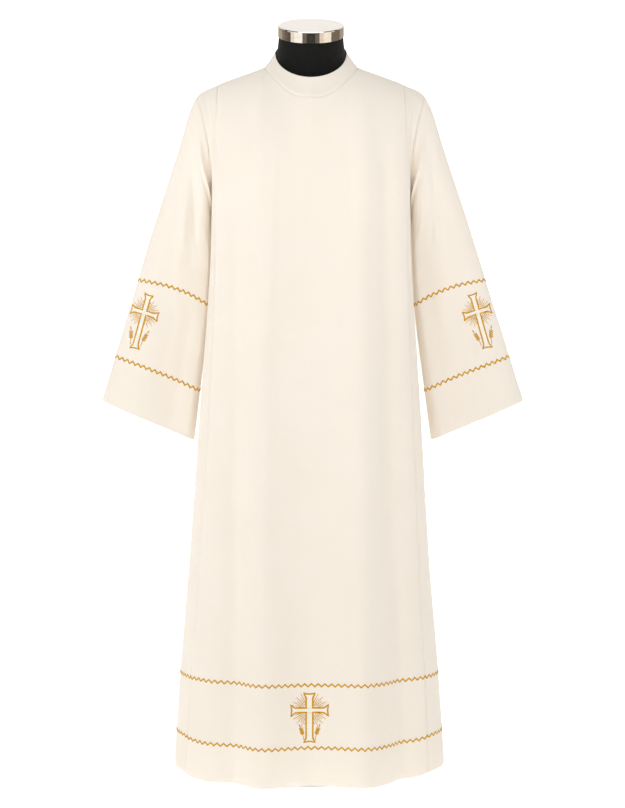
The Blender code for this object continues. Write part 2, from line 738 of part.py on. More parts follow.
def clear_scene():
    for thing in list(bpy.data.objects):
        bpy.data.objects.remove(thing, do_unlink=True)


def main():
    clear_scene()
    cloth = make_material("cream_cloth", (0.86, 0.80, 0.70), 0.85)
    jersey = make_material("black_jersey", (0.012, 0.012, 0.013), 0.80)
    chrome = make_material("chrome", (0.80, 0.80, 0.80), 0.08, 1.0)
    steel = make_material("painted_steel", (0.75, 0.75, 0.74), 0.45)

    front = make_sheet(-1, FRONT_FOLDS)
    back = make_sheet(1, BACK_FOLDS)
    front_normals = grid_normals(front, -1)
    back_normals = grid_normals(back, 1)
    share_edge_normals(front, front_normals, back, back_normals)
    front_panels = make_panels(front, front_normals, ("front", "side_front"), flip=False)
    back_panels = make_panels(back, back_normals, ("back", "side_back"), flip=True)
    collar = make_collar(front_panels[0], back_panels[0])
    sleeves = [
        make_sleeve("sleeve_left", -1, LEFT_SWING, LEFT_FRONT_FOLDS),
        make_sleeve("sleeve_right", 1, RIGHT_SWING, RIGHT_FRONT_FOLDS),
    ]
    pieces = front_panels + back_panels + [collar] + sleeves
    part_seams(pieces)
    for piece in pieces:
        build_wall(piece, cloth)

    make_torso(jersey)
    cap = make_disc("neck_cap", CAP_RADIUS, CAP_HEIGHT, CAP_EDGE, DISC_SIDES, chrome)
    neck = NECK_RINGS[-1]
    cap.rotation_euler.x = math.radians(neck.tilt)
    cap.location = Vector((0, neck.y, neck.z)) + cap.rotation_euler.to_matrix() @ Vector((0, 0, SEAM_GAP))
    pole_top = TORSO_RINGS[0].z - SEAM_GAP
    pole_foot = BASE_HEIGHT + SEAM_GAP
    pole = make_disc("pole", POLE_RADIUS, pole_top - pole_foot, 0.0, POLE_SIDES, steel)
    pole.location.z = pole_foot
    make_disc("base", BASE_RADIUS, BASE_HEIGHT, BASE_EDGE, DISC_SIDES, steel)
    centre_on_origin()


main()
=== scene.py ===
import math
from collections import namedtuple

import bpy
import numpy as np
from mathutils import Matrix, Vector, noise

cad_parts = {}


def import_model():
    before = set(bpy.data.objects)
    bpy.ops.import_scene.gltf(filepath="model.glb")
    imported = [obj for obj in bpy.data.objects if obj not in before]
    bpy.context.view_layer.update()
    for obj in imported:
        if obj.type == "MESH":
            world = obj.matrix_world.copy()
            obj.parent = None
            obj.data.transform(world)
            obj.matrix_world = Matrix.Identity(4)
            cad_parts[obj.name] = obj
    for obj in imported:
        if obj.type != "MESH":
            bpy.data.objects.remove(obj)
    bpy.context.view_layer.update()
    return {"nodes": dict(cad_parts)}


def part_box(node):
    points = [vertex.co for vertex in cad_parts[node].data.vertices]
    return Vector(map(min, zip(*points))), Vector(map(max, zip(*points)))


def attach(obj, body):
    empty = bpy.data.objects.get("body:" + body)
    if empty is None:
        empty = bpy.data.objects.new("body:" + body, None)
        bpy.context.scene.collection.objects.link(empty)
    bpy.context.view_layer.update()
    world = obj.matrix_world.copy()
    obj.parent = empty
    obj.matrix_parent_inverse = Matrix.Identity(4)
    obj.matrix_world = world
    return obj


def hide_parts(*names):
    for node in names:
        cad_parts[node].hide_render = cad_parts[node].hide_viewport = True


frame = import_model()

# Cloth: the thickness of the panels and the collar, and the width of a lap
WALL = 0.0009
COLLAR_WALL = 0.0016
LAP = 0.012

# How far seams, the edges of laps and the armholes are sunk, and how far from the edge that reaches
SEAM_DIP = 0.0014
SEAM_REACH = 0.0024
LAP_DIP = 0.0012
LAP_REACH = 0.0015
ARMHOLE_DIP = 0.0026
MOST_SUNK = 1.2

# By row number: how far the centre panels lie over the side panels, and how far these sink there.
# Both fade within a quarter of a column.
LAP_LIFTS = ((0, 0.0014), (12, 0.0014), (17, 0.0022), (22, 0.0022), (25, 0.0010))
LAP_SINKS = ((9, 0.0014), (15, 0.0030))
LAP_LIFT_FADE = 0.12
LAP_SINK_FADE = 0.24

# The body of the alb: the part's level sections from the hem up to the chest, with a lower hem
HEM_Z = 0.0088
CHEST_Z = 1.130
Level = namedtuple("Level", "z half_width princess front back widest_y hollow sway")
LEVELS = (
    Level(0.015, 0.272, 0.245, 0.194, 0.186, -0.015, 0.000, -0.003),
    Level(0.190, 0.260, 0.235, 0.188, 0.176, -0.020, 0.000, -0.003),
    Level(0.430, 0.240, 0.217, 0.174, 0.160, -0.028, 0.000, -0.003),
    Level(0.670, 0.224, 0.202, 0.158, 0.146, -0.036, 0.010, -0.002),
    Level(0.850, 0.211, 0.194, 0.146, 0.136, -0.040, 0.018, -0.001),
    Level(1.030, 0.199, 0.188, 0.134, 0.126, -0.044, 0.020, 0.000),
    Level(1.130, 0.195, 0.187, 0.128, 0.118, -0.045, 0.001, 0.000),
)
FRONT_SECTION_POWER = 2.3
BACK_SECTION_POWER = 3.0
BACK_PRINCESS_INSET = 0.028
SIDE_SEAM_Y = 0.030
HOLLOW_Y = 0.030
HOLLOW_REACH = 0.045

# The hem rises a little at the side seams, from this column out and over the lowest rows
HEM_RISE = 0.009
HEM_RISE_COLUMN = 11
HEM_RISE_COLUMNS = 3.5
HEM_RISE_ROWS = 3

# Shoulders, neckline and collar
Shoulder = namedtuple("Shoulder", "x z")
SHOULDER_LINE = (
    Shoulder(0.0000, 1.4500),
    Shoulder(0.0930, 1.4065),
    Shoulder(0.1380, 1.3900),
    Shoulder(0.1820, 1.3740),
    Shoulder(0.2180, 1.3590),
    Shoulder(0.2255, 1.3520),
)
SHOULDER_POINT_X = 0.2255
PRINCESS_TOP = 0.183
FRONT_POWER = 2.1
BACK_POWER = 3.0
NECK_HALF_WIDTH = 0.093
NECK_FRONT = 0.096
NECK_BACK = 0.070
COLLAR_HALF_WIDTH = 0.071
COLLAR_FRONT = 0.073
COLLAR_BACK = 0.070
COLLAR_SIDE_Z = 1.436
COLLAR_FRONT_DROP = 0.050
COLLAR_BACK_RISE = 0.029
COLLAR_BOW = 0.001

# Armholes and sleeves
ARMHOLE_FRONT = 0.060
ARMHOLE_BACK = 0.052
ARMHOLE_DRAW = 2.3
ARMHOLE_ROUNDNESS = 1.35
ARMHOLE_HOLD = 4.5
Sleeve = namedtuple("Sleeve", "along outer_x outer_z inner_x inner_z outer_y inner_y half_depth")
SLEEVE_EDGES = (
    Sleeve(0.00, 0.2255, 1.352, 0.189, 1.130, 0.000, 0.030, 0.060),
    Sleeve(0.06, 0.2400, 1.322, 0.199, 1.108, 0.003, 0.033, 0.058),
    Sleeve(0.15, 0.2570, 1.267, 0.200, 1.064, 0.007, 0.036, 0.055),
    Sleeve(0.30, 0.2840, 1.183, 0.201, 0.995, 0.014, 0.036, 0.048),
    Sleeve(0.50, 0.3220, 1.063, 0.206, 0.905, 0.022, 0.034, 0.040),
    Sleeve(0.75, 0.3700, 0.904, 0.219, 0.785, 0.028, 0.032, 0.035),
    Sleeve(1.00, 0.4180, 0.745, 0.232, 0.666, 0.030, 0.031, 0.033),
)

# A sleeve's section: its depth and rounded corners at the inner and outer edge, how far it leans
# towards the inner edge, and where along the sleeve this form is reached
SLEEVE_INNER_DEPTH = 0.58
SLEEVE_INNER_CORNERS = {-1: (0.04, 0.09), 1: (0.07, 0.13)}
SLEEVE_OUTER_CORNER = 0.30
SLEEVE_LEAN = 0.38
SLEEVE_FORMED = 0.20
LEFT_SWING = 0.002
RIGHT_SWING = 0.009
SWING_CURVE = 1.5

# What a sleeve's creases are measured by: half its width, its length, and the width that a reach
# of 1 stands for. Folds and creases start to show at the armhole within a short part of its length.
SLEEVE_HALF_WIDTH = 0.1
SLEEVE_LENGTH = 0.65
SLEEVE_CREASE_WIDTH = 0.16
ARMHOLE_FADE = 0.04
SLEEVE_FOLD_RISE = 2.5
SLEEVE_RIPPLE_SHIFT = 3.0

# The long folds, close to those of the part. A plus height is a ridge and a minus one a trough.
Fold = namedtuple("Fold", "x_chest x_hem reach_chest reach_hem chest middle hem neck_share")
FRONT_FOLDS = (
    Fold(-0.150, -0.154, 0.020, 0.030, -0.005, -0.012, -0.012, 0.0),
    Fold(-0.096, -0.090, 0.022, 0.038, 0.009, 0.014, 0.021, 0.6),
    Fold(0.000, 0.004, 0.050, 0.045, -0.005, -0.008, -0.011, 0.4),
    Fold(0.096, 0.105, 0.024, 0.036, 0.006, 0.012, 0.019, 0.5),
    Fold(0.148, 0.185, 0.017, 0.026, -0.007, -0.014, -0.012, 0.2),
    Fold(0.172, 0.212, 0.018, 0.040, 0.004, 0.003, -0.022, 0.2),
)
BACK_FOLDS = (
    Fold(-0.128, -0.170, 0.020, 0.038, -0.005, -0.010, -0.014, 0.0),
    Fold(-0.075, -0.098, 0.022, 0.040, 0.006, 0.009, 0.014, 0.3),
    Fold(-0.012, -0.020, 0.026, 0.042, -0.007, -0.011, -0.016, 0.3),
    Fold(0.058, 0.072, 0.022, 0.040, 0.006, 0.010, 0.016, 0.3),
    Fold(0.110, 0.140, 0.020, 0.036, -0.006, -0.009, -0.012, 0.0),
    Fold(0.152, 0.196, 0.018, 0.034, 0.003, 0.005, 0.010, 0.0),
)
MIDDLE_Z = 0.560
NECK_FADE = 1.4
SHOULDER_FADE = 1.6
SIDE_FADE_COLUMNS = 5
SleeveFold = namedtuple("SleeveFold", "across_start across_end start end reach height")
LEFT_FRONT_FOLDS = (
    SleeveFold(0.10, -0.30, 0.04, 0.42, 0.17, -0.003),
    SleeveFold(0.45, -0.05, 0.06, 0.60, 0.18, 0.003),
    SleeveFold(-0.50, -0.45, 0.40, 1.10, 0.20, -0.004),
    SleeveFold(0.20, 0.30, 0.50, 1.10, 0.26, 0.003),
)
RIGHT_FRONT_FOLDS = (
    SleeveFold(0.55, 0.30, 0.05, 0.45, 0.16, -0.003),
    SleeveFold(0.15, 0.05, 0.06, 0.60, 0.18, 0.003),
    SleeveFold(-0.55, -0.50, 0.20, 1.10, 0.22, -0.005),
    SleeveFold(0.30, 0.35, 0.55, 1.10, 0.22, 0.004),
)
SLEEVE_BACK_FOLDS = (
    SleeveFold(0.20, -0.10, 0.05, 0.50, 0.20, -0.007),
    SleeveFold(-0.30, -0.35, 0.30, 1.10, 0.22, 0.005),
    SleeveFold(0.35, 0.30, 0.40, 1.10, 0.20, -0.005),
)

# Finer creases, which only the cloth here has. Each runs from start to end, bows sideways between
# them, and falls away over its own width to the left and to the right of its crest.
# A keen one comes to an edge at its crest.
Crease = namedtuple("Crease", "x_start z_start x_end z_end bow left right height keen", defaults=(0.0,))
FRONT_CREASES = (
    Crease(-0.050, 1.420, -0.082, 0.880, -0.006, 0.034, 0.052, 0.0125, 1.0),
    Crease(0.068, 1.370, 0.082, 1.080, 0.002, 0.036, 0.018, -0.0045, 1.0),
    Crease(-0.118, 1.345, -0.150, 1.150, 0.006, 0.016, 0.020, -0.0016),
    Crease(0.120, 1.345, 0.158, 1.130, -0.006, 0.018, 0.014, -0.0018),
    Crease(-0.100, 1.080, -0.112, 0.560, 0.006, 0.018, 0.014, 0.0014),
    Crease(0.060, 1.050, 0.052, 0.420, -0.006, 0.012, 0.024, 0.0012),
    Crease(0.134, 0.900, 0.150, 0.330, 0.004, 0.012, 0.009, -0.0022),
    Crease(-0.168, 0.860, -0.176, 0.380, -0.005, 0.014, 0.011, -0.0014),
    Crease(-0.022, 0.760, -0.036, 0.180, 0.005, 0.020, 0.016, -0.0012),
    Crease(0.186, 0.520, 0.206, 0.060, 0.004, 0.012, 0.016, 0.0014),
    Crease(-0.060, 0.420, -0.052, 0.020, -0.004, 0.016, 0.020, 0.0014),
    Crease(0.030, 0.300, 0.040, 0.018, 0.003, 0.014, 0.018, -0.0012),
)
BACK_CREASES = (
    Crease(0.050, 1.370, 0.066, 1.020, 0.004, 0.022, 0.009, 0.0018),
    Crease(-0.086, 1.340, -0.080, 1.060, -0.004, 0.010, 0.022, 0.0014),
    Crease(0.128, 1.330, 0.150, 1.120, 0.006, 0.018, 0.014, -0.0017),
    Crease(-0.132, 1.330, -0.156, 1.130, -0.005, 0.016, 0.018, -0.0016),
    Crease(-0.040, 1.060, -0.050, 0.520, 0.006, 0.016, 0.020, -0.0014),
    Crease(0.088, 0.980, 0.096, 0.360, -0.005, 0.014, 0.018, 0.0013),
    Crease(-0.130, 0.820, -0.150, 0.260, 0.005, 0.012, 0.010, -0.0020),
    Crease(0.020, 0.620, 0.030, 0.090, 0.004, 0.018, 0.014, 0.0014),
    Crease(0.164, 0.560, 0.176, 0.080, -0.004, 0.012, 0.014, -0.0015),
)
KEEN_CREST = 0.06
CREASE_ENDS = 0.7
BOW_TURNS = 1.3
SleeveCrease = namedtuple("SleeveCrease", "across_start along_start across_end along_end reach height")
ARMHOLE_CREASES = (
    SleeveCrease(0.50, 0.046, -1.30, 0.052, 0.060, 0.0105),
    SleeveCrease(0.40, 0.088, -1.60, 0.108, 0.190, 0.0085),
)
LEFT_SLEEVE_CREASES = ARMHOLE_CREASES + (
    SleeveCrease(0.55, 0.10, -0.55, 0.34, 0.060, -0.0020),
    SleeveCrease(0.80, 0.09, -0.10, 0.42, 0.070, 0.0020),
    SleeveCrease(-0.80, 0.30, 0.10, 0.46, 0.060, -0.0016),
    SleeveCrease(-0.85, 0.46, 0.00, 0.60, 0.070, 0.0014),
    SleeveCrease(0.60, 0.45, 0.50, 0.95, 0.090, 0.0012),
    SleeveCrease(-0.10, 0.55, -0.16, 0.98, 0.080, -0.0012),
)
RIGHT_SLEEVE_CREASES = ARMHOLE_CREASES + (
    SleeveCrease(0.70, 0.10, -0.30, 0.36, 0.060, -0.0020),
    SleeveCrease(0.40, 0.03, -0.60, 0.22, 0.055, 0.0018),
    SleeveCrease(-0.85, 0.34, 0.05, 0.50, 0.065, -0.0016),
    SleeveCrease(-0.80, 0.52, -0.10, 0.64, 0.070, 0.0013),
    SleeveCrease(0.52, 0.40, 0.48, 0.90, 0.085, -0.0013),
    SleeveCrease(0.02, 0.60, -0.04, 0.98, 0.080, 0.0012),
)
SLEEVE_BACK_CREASES = (
    SleeveCrease(0.60, 0.06, -0.50, 0.30, 0.060, -0.0022),
    SleeveCrease(-0.80, 0.36, 0.10, 0.50, 0.070, 0.0015),
    SleeveCrease(0.30, 0.50, 0.22, 0.96, 0.090, -0.0013),
)

# Slow unevenness all over the cloth
Ripple = namedtuple("Ripple", "across down height")
RIPPLES = (Ripple(0.060, 0.260, 0.0013), Ripple(0.026, 0.090, 0.0004))

# Where the grid numbers of the part's columns and rows fall: the end of the neckline, the inner
# edge of the lap, the princess line and the side seam, and the chest and shoulder rows
NECK_COLUMN = 8
LAP_COLUMN = 12
PRINCESS_COLUMN = 13
SEAM_COLUMN = 18
CHEST_ROW = 15
TOP_ROW = 25
NECK_COLUMN_SHARE = 0.6

# Zigzag stitching: its size, the heights of the lines on the skirt, and where each line on a
# sleeve crosses the inner and the outer edge, as a part of the sleeve's length
STITCH_PERIOD = 0.0133
STITCH_SWING = 0.0029
STITCH_WIDTH = 0.0029
SLEEVE_STITCH_PERIOD = 0.0119
THREAD_HEIGHT = 0.0007
SKIRT_STITCH_ZS = (0.2065, 0.0830)
SLEEVE_STITCH_ALONGS = ((0.43, 0.62), (0.79, 0.86))
SKIRT_LINE_POINTS = 600
SLEEVE_LINE_POINTS = 400


def lerp(a, b, t):
    return a + (b - a) * t


def bump(t):
    """1 at the middle, fading to nothing on both sides."""
    return np.exp(-t * t)


def ease(t):
    t = np.clip(t, 0.0, 1.0)
    return t * t * (3 - 2 * t)


def corner(t):
    """A rise from 0 to 1, rounded as the corner of a superellipse."""
    power = 2.2
    return (1 - np.clip(1 - t, 0, 1) ** power) ** (1 / power)


def unit(vectors):
    return vectors / np.linalg.norm(vectors, axis=-1, keepdims=True)


def distances(line):
    """Distance run along a line of points."""
    return np.concatenate([[0], np.cumsum(np.linalg.norm(np.diff(line, axis=0), axis=1))])


def read(table, key, at, column):
    """Values of a column where the key column reaches given values, along a smooth curve."""
    keys = np.array([getattr(row, key) for row in table])
    values = np.array([getattr(row, column) for row in table])
    at = np.clip(at, keys[0], keys[-1])
    slopes = np.diff(values) / np.diff(keys)
    i = np.clip(np.searchsorted(keys, at, side="right") - 1, 0, len(slopes) - 1)
    span = keys[i + 1] - keys[i]
    start = (slopes[np.maximum(i - 1, 0)] + slopes[i]) / 2 * span
    end = (slopes[i] + slopes[np.minimum(i + 1, len(slopes) - 1)]) / 2 * span
    t = (at - keys[i]) / span
    rise = values[i + 1] - values[i]
    square, cube = 3 * rise - 2 * start - end, start + end - 2 * rise
    return values[i] + t * start + t * t * square + t ** 3 * cube


def level(z, column):
    return float(read(LEVELS, "z", z, column))


def section_power(facing):
    return FRONT_SECTION_POWER if facing < 0 else BACK_SECTION_POWER


def section_reach(z, facing):
    if facing < 0:
        return level(z, "front") + level(z, "widest_y")
    return level(z, "back") - level(z, "widest_y")


def section_depth(z, x, facing):
    """Depth y of the level section at height z and x."""
    power = section_power(facing)
    share = np.clip(1 - np.abs(x / level(z, "half_width")) ** power, 0, None) ** (1 / power)
    return level(z, "widest_y") + facing * section_reach(z, facing) * share


def princess(z, facing):
    return level(z, "princess") - (BACK_PRINCESS_INSET if facing > 0 else 0.0)


def side_angle(z, facing):
    share = princess(z, facing) / level(z, "half_width")
    return -facing * math.acos(share ** (section_power(facing) / 2))


def seam_angle(z):
    share = (SIDE_SEAM_Y - level(z, "widest_y")) / section_reach(z, 1)
    return -math.asin(share ** (BACK_SECTION_POWER / 2))


def side_points(z, angles):
    """Points of the level section by their angles, on the right side."""
    facing = np.where(angles > 0, -1.0, 1.0)
    power = np.where(angles > 0, FRONT_SECTION_POWER, BACK_SECTION_POWER)
    reach = np.where(angles > 0, section_reach(z, -1), section_reach(z, 1))
    y = level(z, "widest_y") + facing * reach * np.abs(np.sin(angles)) ** (2 / power)
    x = level(z, "half_width") * np.cos(angles) ** (2 / power)
    x -= level(z, "hollow") * bump((y - HOLLOW_Y) / HOLLOW_REACH)
    return x, y


def body_row(z, facing, columns):
    """Right half of one level row, from the middle of the panel out to the side seam."""
    line = princess(z, facing)
    x = np.interp(columns, (0, NECK_COLUMN, LAP_COLUMN, PRINCESS_COLUMN),
                  (0, NECK_COLUMN_SHARE * (line - LAP), line - LAP, line))
    y = section_depth(z, x, facing)
    x = x - level(z, "hollow") * bump((y - HOLLOW_Y) / HOLLOW_REACH)
    out = (columns - PRINCESS_COLUMN) / (SEAM_COLUMN - PRINCESS_COLUMN)
    side_x, side_y = side_points(z, lerp(side_angle(z, facing), seam_angle(z), np.clip(out, 0, 1)))
    x, y = np.where(out > 0, (side_x, side_y), (x, y))
    return np.stack([x, y, np.full(len(x), z)], axis=-1)


def chest_side_x(y):
    from_widest = y - level(CHEST_Z, "widest_y")
    facing = -1 if from_widest < 0 else 1
    share = abs(from_widest / section_reach(CHEST_Z, facing))
    power = section_power(facing)
    return level(CHEST_Z, "half_width") * (1 - share ** power) ** (1 / power)


def armhole_point(turn, facing):
    """Point of the right armhole: turn 0 is the armpit and 1 the shoulder point."""
    foot_x, foot_y = (float(v[0]) for v in side_points(CHEST_Z, np.array([seam_angle(CHEST_Z)])))
    top_z = float(read(SHOULDER_LINE, "x", SHOULDER_POINT_X, "z"))
    rise = (1 - math.cos(math.pi * turn)) / 2
    depth = ARMHOLE_FRONT if facing < 0 else ARMHOLE_BACK
    swell = max(math.sin(math.pi * turn), 0.0) ** ARMHOLE_ROUNDNESS
    y = lerp(foot_y, 0.0, rise) + facing * depth * swell
    out = chest_side_x(y) - chest_side_x(foot_y) if facing < 0 else 0.0
    x = lerp(foot_x + out, SHOULDER_POINT_X, rise ** ARMHOLE_DRAW)
    return np.array([x, y, lerp(CHEST_Z, top_z, rise)])


def over_shoulder(x, angle, facing):
    """Points on the curves that rise from the chest section over to the shoulder line."""
    power = FRONT_POWER if facing < 0 else BACK_POWER
    top = read(SHOULDER_LINE, "x", np.abs(x), "z")
    y = section_depth(CHEST_Z, x, facing) * np.clip(np.cos(angle), 0, 1) ** (2 / power)
    z = lerp(CHEST_Z, top, np.sin(angle) ** (2 / power))
    return np.stack([x, y, z], axis=-1)


def shoulder_row(turn, facing, columns):
    """Right half of one row above the armpits, from the middle out to the armhole."""
    columns = np.append(columns, PRINCESS_COLUMN)
    chest = body_row(CHEST_Z, facing, columns)
    ends = body_row(CHEST_Z, facing, np.array([PRINCESS_COLUMN, SEAM_COLUMN]))
    place = np.clip(columns / NECK_COLUMN, 0, 1)
    beyond = np.interp(columns, (NECK_COLUMN, LAP_COLUMN, PRINCESS_COLUMN),
                       (NECK_HALF_WIDTH, PRINCESS_TOP - LAP, PRINCESS_TOP))
    x_top = np.where(columns < NECK_COLUMN, NECK_HALF_WIDTH * np.sin(math.pi / 2 * place), beyond)
    power = FRONT_POWER if facing < 0 else BACK_POWER
    depth = (NECK_FRONT if facing < 0 else NECK_BACK) * np.cos(math.pi / 2 * place)
    share = np.clip(np.abs(depth / section_depth(CHEST_Z, x_top, facing)), 0, 1)
    reach = np.arccos(share ** (power / 2))
    x = lerp(chest[:, 0], x_top, ease(turn))
    inner = over_shoulder(x, reach * turn, facing)
    out = np.clip((columns - PRINCESS_COLUMN) / (SEAM_COLUMN - PRINCESS_COLUMN), 0, 1)[:, None]
    strip = lerp(inner[-1], armhole_point(turn, facing), out)
    strip += (chest - lerp(ends[0], ends[1], out)) * (1 - turn) ** 2
    crown = read(SHOULDER_LINE, "x", strip[:, 0], "z") - strip[:, 2]
    strip[:, 2] += crown * np.clip(turn * 10 - 9, 0, 1)
    return np.where(out > 0, strip, inner)[:-1]


def grid_normals(points, facing, around=False):
    """Outward normals of a grid of points."""
    if around:
        across = np.roll(points, -1, axis=1) - np.roll(points, 1, axis=1)
    else:
        across = np.gradient(points, axis=1)
    return unit(np.cross(across, np.gradient(points, axis=0)) * -facing)


def fold_heights(folds, x, z):
    """How far the long folds of a sheet lift or sink it."""
    held_z = np.minimum(z, CHEST_Z)
    down = (CHEST_Z - held_z) / (CHEST_Z - HEM_Z)
    rise = (z - held_z) / (SHOULDER_LINE[0].z - CHEST_Z)
    total = np.zeros_like(x)
    for fold in folds:
        middle = lerp(fold.x_chest, fold.x_hem, down)
        reach = lerp(fold.reach_chest, fold.reach_hem, down)
        height = np.interp(held_z, (HEM_Z, MIDDLE_Z, CHEST_Z), (fold.hem, fold.middle, fold.chest))
        height = height * lerp(1.0, fold.neck_share, ease(rise * NECK_FADE))
        total += height * bump((x - middle) / reach)
    return total


def crease_heights(creases, x, z):
    """How far the finer creases lift or sink a sheet."""
    total = np.zeros_like(x)
    for crease in creases:
        run = (z - crease.z_start) / (crease.z_end - crease.z_start)
        bow = crease.bow * np.sin(math.pi * run * BOW_TURNS)
        off = x - (lerp(crease.x_start, crease.x_end, run) + bow)
        width = np.where(off < 0, crease.left, crease.right)
        strength = np.sin(math.pi * np.clip(run, 0, 1)) ** CREASE_ENDS
        off = off / width
        edged = np.exp(KEEN_CREST - np.sqrt(off * off + KEEN_CREST ** 2)) * ease(2 - np.abs(off))
        total += crease.height * strength * lerp(bump(off), edged, crease.keen)
    return total


def ripple_heights(x, y, z):
    """Slow unevenness of hung cloth, longer down than across."""
    total = np.zeros(x.size)
    for ripple in RIPPLES:
        places = zip((x / ripple.across).ravel(), (y / ripple.across).ravel(), (z / ripple.down).ravel())
        total += ripple.height * np.array([noise.noise(Vector(place)) for place in places])
    return total.reshape(x.shape)


def stops(parts):
    """Column or row numbers from runs of (start, end, how many steps), each start being the last end."""
    values = [np.array([parts[0][0]], dtype=float)]
    for start, end, steps in parts:
        values.append(np.linspace(start, end, steps + 1)[1:])
    return np.concatenate(values)


COLUMNS = stops(((0, 8, 32), (8, 11.7, 18), (11.7, 12, 3), (12, 12.9, 4), (12.9, 13, 2),
                 (13, 13.24, 6), (13.24, 17.9, 26), (17.9, 18, 3)))
ROWS = stops(((0, 0.02, 1), (0.02, 15, 190), (15, 24.9, 64), (24.9, 25, 3)))


class Sheet:
    """The front or back of the body as one grid, with its normals and its column and row numbers."""

    def __init__(self, facing, folds, creases):
        self.facing = facing
        halves = []
        for row in ROWS:
            if row <= CHEST_ROW:
                z = lerp(HEM_Z, CHEST_Z, row / CHEST_ROW)
                half = body_row(z, facing, COLUMNS)
                sway = level(z, "sway")
            else:
                half = shoulder_row((row - CHEST_ROW) / (TOP_ROW - CHEST_ROW), facing, COLUMNS)
                sway = 0.0
            mirrored = half[:0:-1] * (-1, 1, 1)
            halves.append(np.concatenate([mirrored, half]) + (sway, 0, 0))
        points = np.array(halves)
        self.columns = np.concatenate([-COLUMNS[:0:-1], COLUMNS])
        outward = ease((np.abs(self.columns) - HEM_RISE_COLUMN) / HEM_RISE_COLUMNS)
        points[:, :, 2] += HEM_RISE * ease(1 - ROWS / HEM_RISE_ROWS)[:, None] * outward
        normals = grid_normals(points, facing)
        x, y, z = np.moveaxis(points, 2, 0)
        free = ease((SEAM_COLUMN - np.abs(self.columns)) / SIDE_FADE_COLUMNS)[None, :]
        held = ease((TOP_ROW - ROWS) / (TOP_ROW - CHEST_ROW) * SHOULDER_FADE)[:, None]
        lift = fold_heights(folds, x, z) * free * held
        lift += crease_heights(creases, x, z) * free * held
        lift += ripple_heights(x, y, z) * ease(free * 3) * ease(held * 3)
        self.points = points + normals * lift[:, :, None]
        self.normals = grid_normals(self.points, facing)

    def row_at(self, z):
        return float(np.interp((z - HEM_Z) / (CHEST_Z - HEM_Z) * CHEST_ROW, ROWS, np.arange(len(ROWS))))

    def lap_lift(self):
        """How far the centre panel lies above its neighbours, row by row."""
        return np.interp(ROWS, *zip(*LAP_LIFTS))[:, None, None]

    def surface(self):
        """The sheet as embroidery lies on it, over the laps."""
        over = 1 - ease((np.abs(self.columns) - PRINCESS_COLUMN) / LAP_LIFT_FADE)
        lift = self.lap_lift() * over[None, :, None]
        return Surface(self.points + self.normals * lift, self.normals)


def share_edges(front, back):
    """Give the front and back sheets one normal wherever their edges meet."""
    shoulders = np.flatnonzero(np.abs(front.columns) >= NECK_COLUMN)
    last_row, last_column = len(ROWS) - 1, len(front.columns) - 1
    for rows, columns in (([last_row], shoulders), (range(len(ROWS)), [0, last_column])):
        place = np.ix_(rows, columns)
        front.normals[place] = back.normals[place] = unit(front.normals[place] + back.normals[place])


def arcs(points, axis):
    """Distance run along each line of a grid."""
    steps = np.linalg.norm(np.diff(points, axis=axis), axis=2)
    total = np.cumsum(steps, axis=axis)
    return np.insert(total, 0, 0.0, axis=axis)


def round_edges(points, normals, edges, dip=SEAM_DIP, reach=SEAM_REACH):
    """Sink a panel a little towards the seams on the named edges: left, right, foot and top."""
    across = arcs(points, 1)
    along = arcs(points, 0)
    from_edge = {
        "left": across,
        "right": across[:, -1:] - across,
        "foot": along,
        "top": along[-1:, :] - along,
    }
    sunk = sum(bump(from_edge[edge] / reach) for edge in edges)
    return points - normals * (dip * np.minimum(sunk, MOST_SUNK))[:, :, None]


def cloth_piece(name, points, normals, wall, around=False, flip=False, rolled=()):
    """A closed thin shell on a grid of outer points, with rounded rims on the rolled edges."""
    rows, columns = points.shape[:2]
    inner = points - normals * wall
    across = arcs(points, 1)
    across -= across[:, columns // 2][:, None]
    along = arcs(points, 0)
    verts = np.concatenate([points.reshape(-1, 3), inner.reshape(-1, 3)])
    flat = np.stack([across, along], axis=-1).reshape(-1, 2)
    flat = np.concatenate([flat, flat])
    outer_index = np.arange(rows * columns).reshape(rows, columns)
    inner_index = outer_index + rows * columns

    def after(index):
        return np.roll(index, -1, axis=-1) if around else index[..., 1:]

    def before(index):
        return index if around else index[..., :-1]

    faces = []

    def quads(a, b, c, d):
        made = np.stack([a, b, c, d], axis=-1).reshape(-1, 4)
        faces.append(made[:, ::-1] if flip else made)

    low, high = outer_index[:-1], outer_index[1:]
    quads(before(low), after(low), after(high), before(high))
    low, high = inner_index[:-1], inner_index[1:]
    quads(before(low), before(high), after(high), after(low))
    for edge, row, next_row in (("foot", 0, 1), ("top", -1, -2)):
        rims = [outer_index[row], inner_index[row]]
        if edge in rolled:
            out = unit(points[row] - points[next_row])
            middle = (points[row] + inner[row]) / 2 + out * wall * 0.5
            rims.insert(1, np.arange(columns) + len(verts))
            verts = np.concatenate([verts, middle])
            flat = np.concatenate([flat, flat[rims[0]]])
        for upper, lower in zip(rims, rims[1:]):
            if row == 0:
                quads(after(upper), before(upper), before(lower), after(lower))
            else:
                quads(before(upper), after(upper), after(lower), before(lower))
    if not around:
        for column, way in ((0, 1), (-1, -1)):
            outer_rim, inner_rim = outer_index[::way, column], inner_index[::way, column]
            quads(outer_rim[:-1], outer_rim[1:], inner_rim[1:], inner_rim[:-1])
    faces = np.concatenate(faces)
    corners = flat[faces.ravel()].reshape(-1, 4, 2)
    if around:
        wraps = np.ptp(corners[:, :, 0], axis=1) > np.ptp(across) * 0.5
        low = corners[:, :, 0] < 0
        corners[:, :, 0] += np.where(wraps[:, None] & low, np.ptp(across), 0.0)
    return mesh_piece(name, verts, faces.tolist(), corners.reshape(-1, 2))


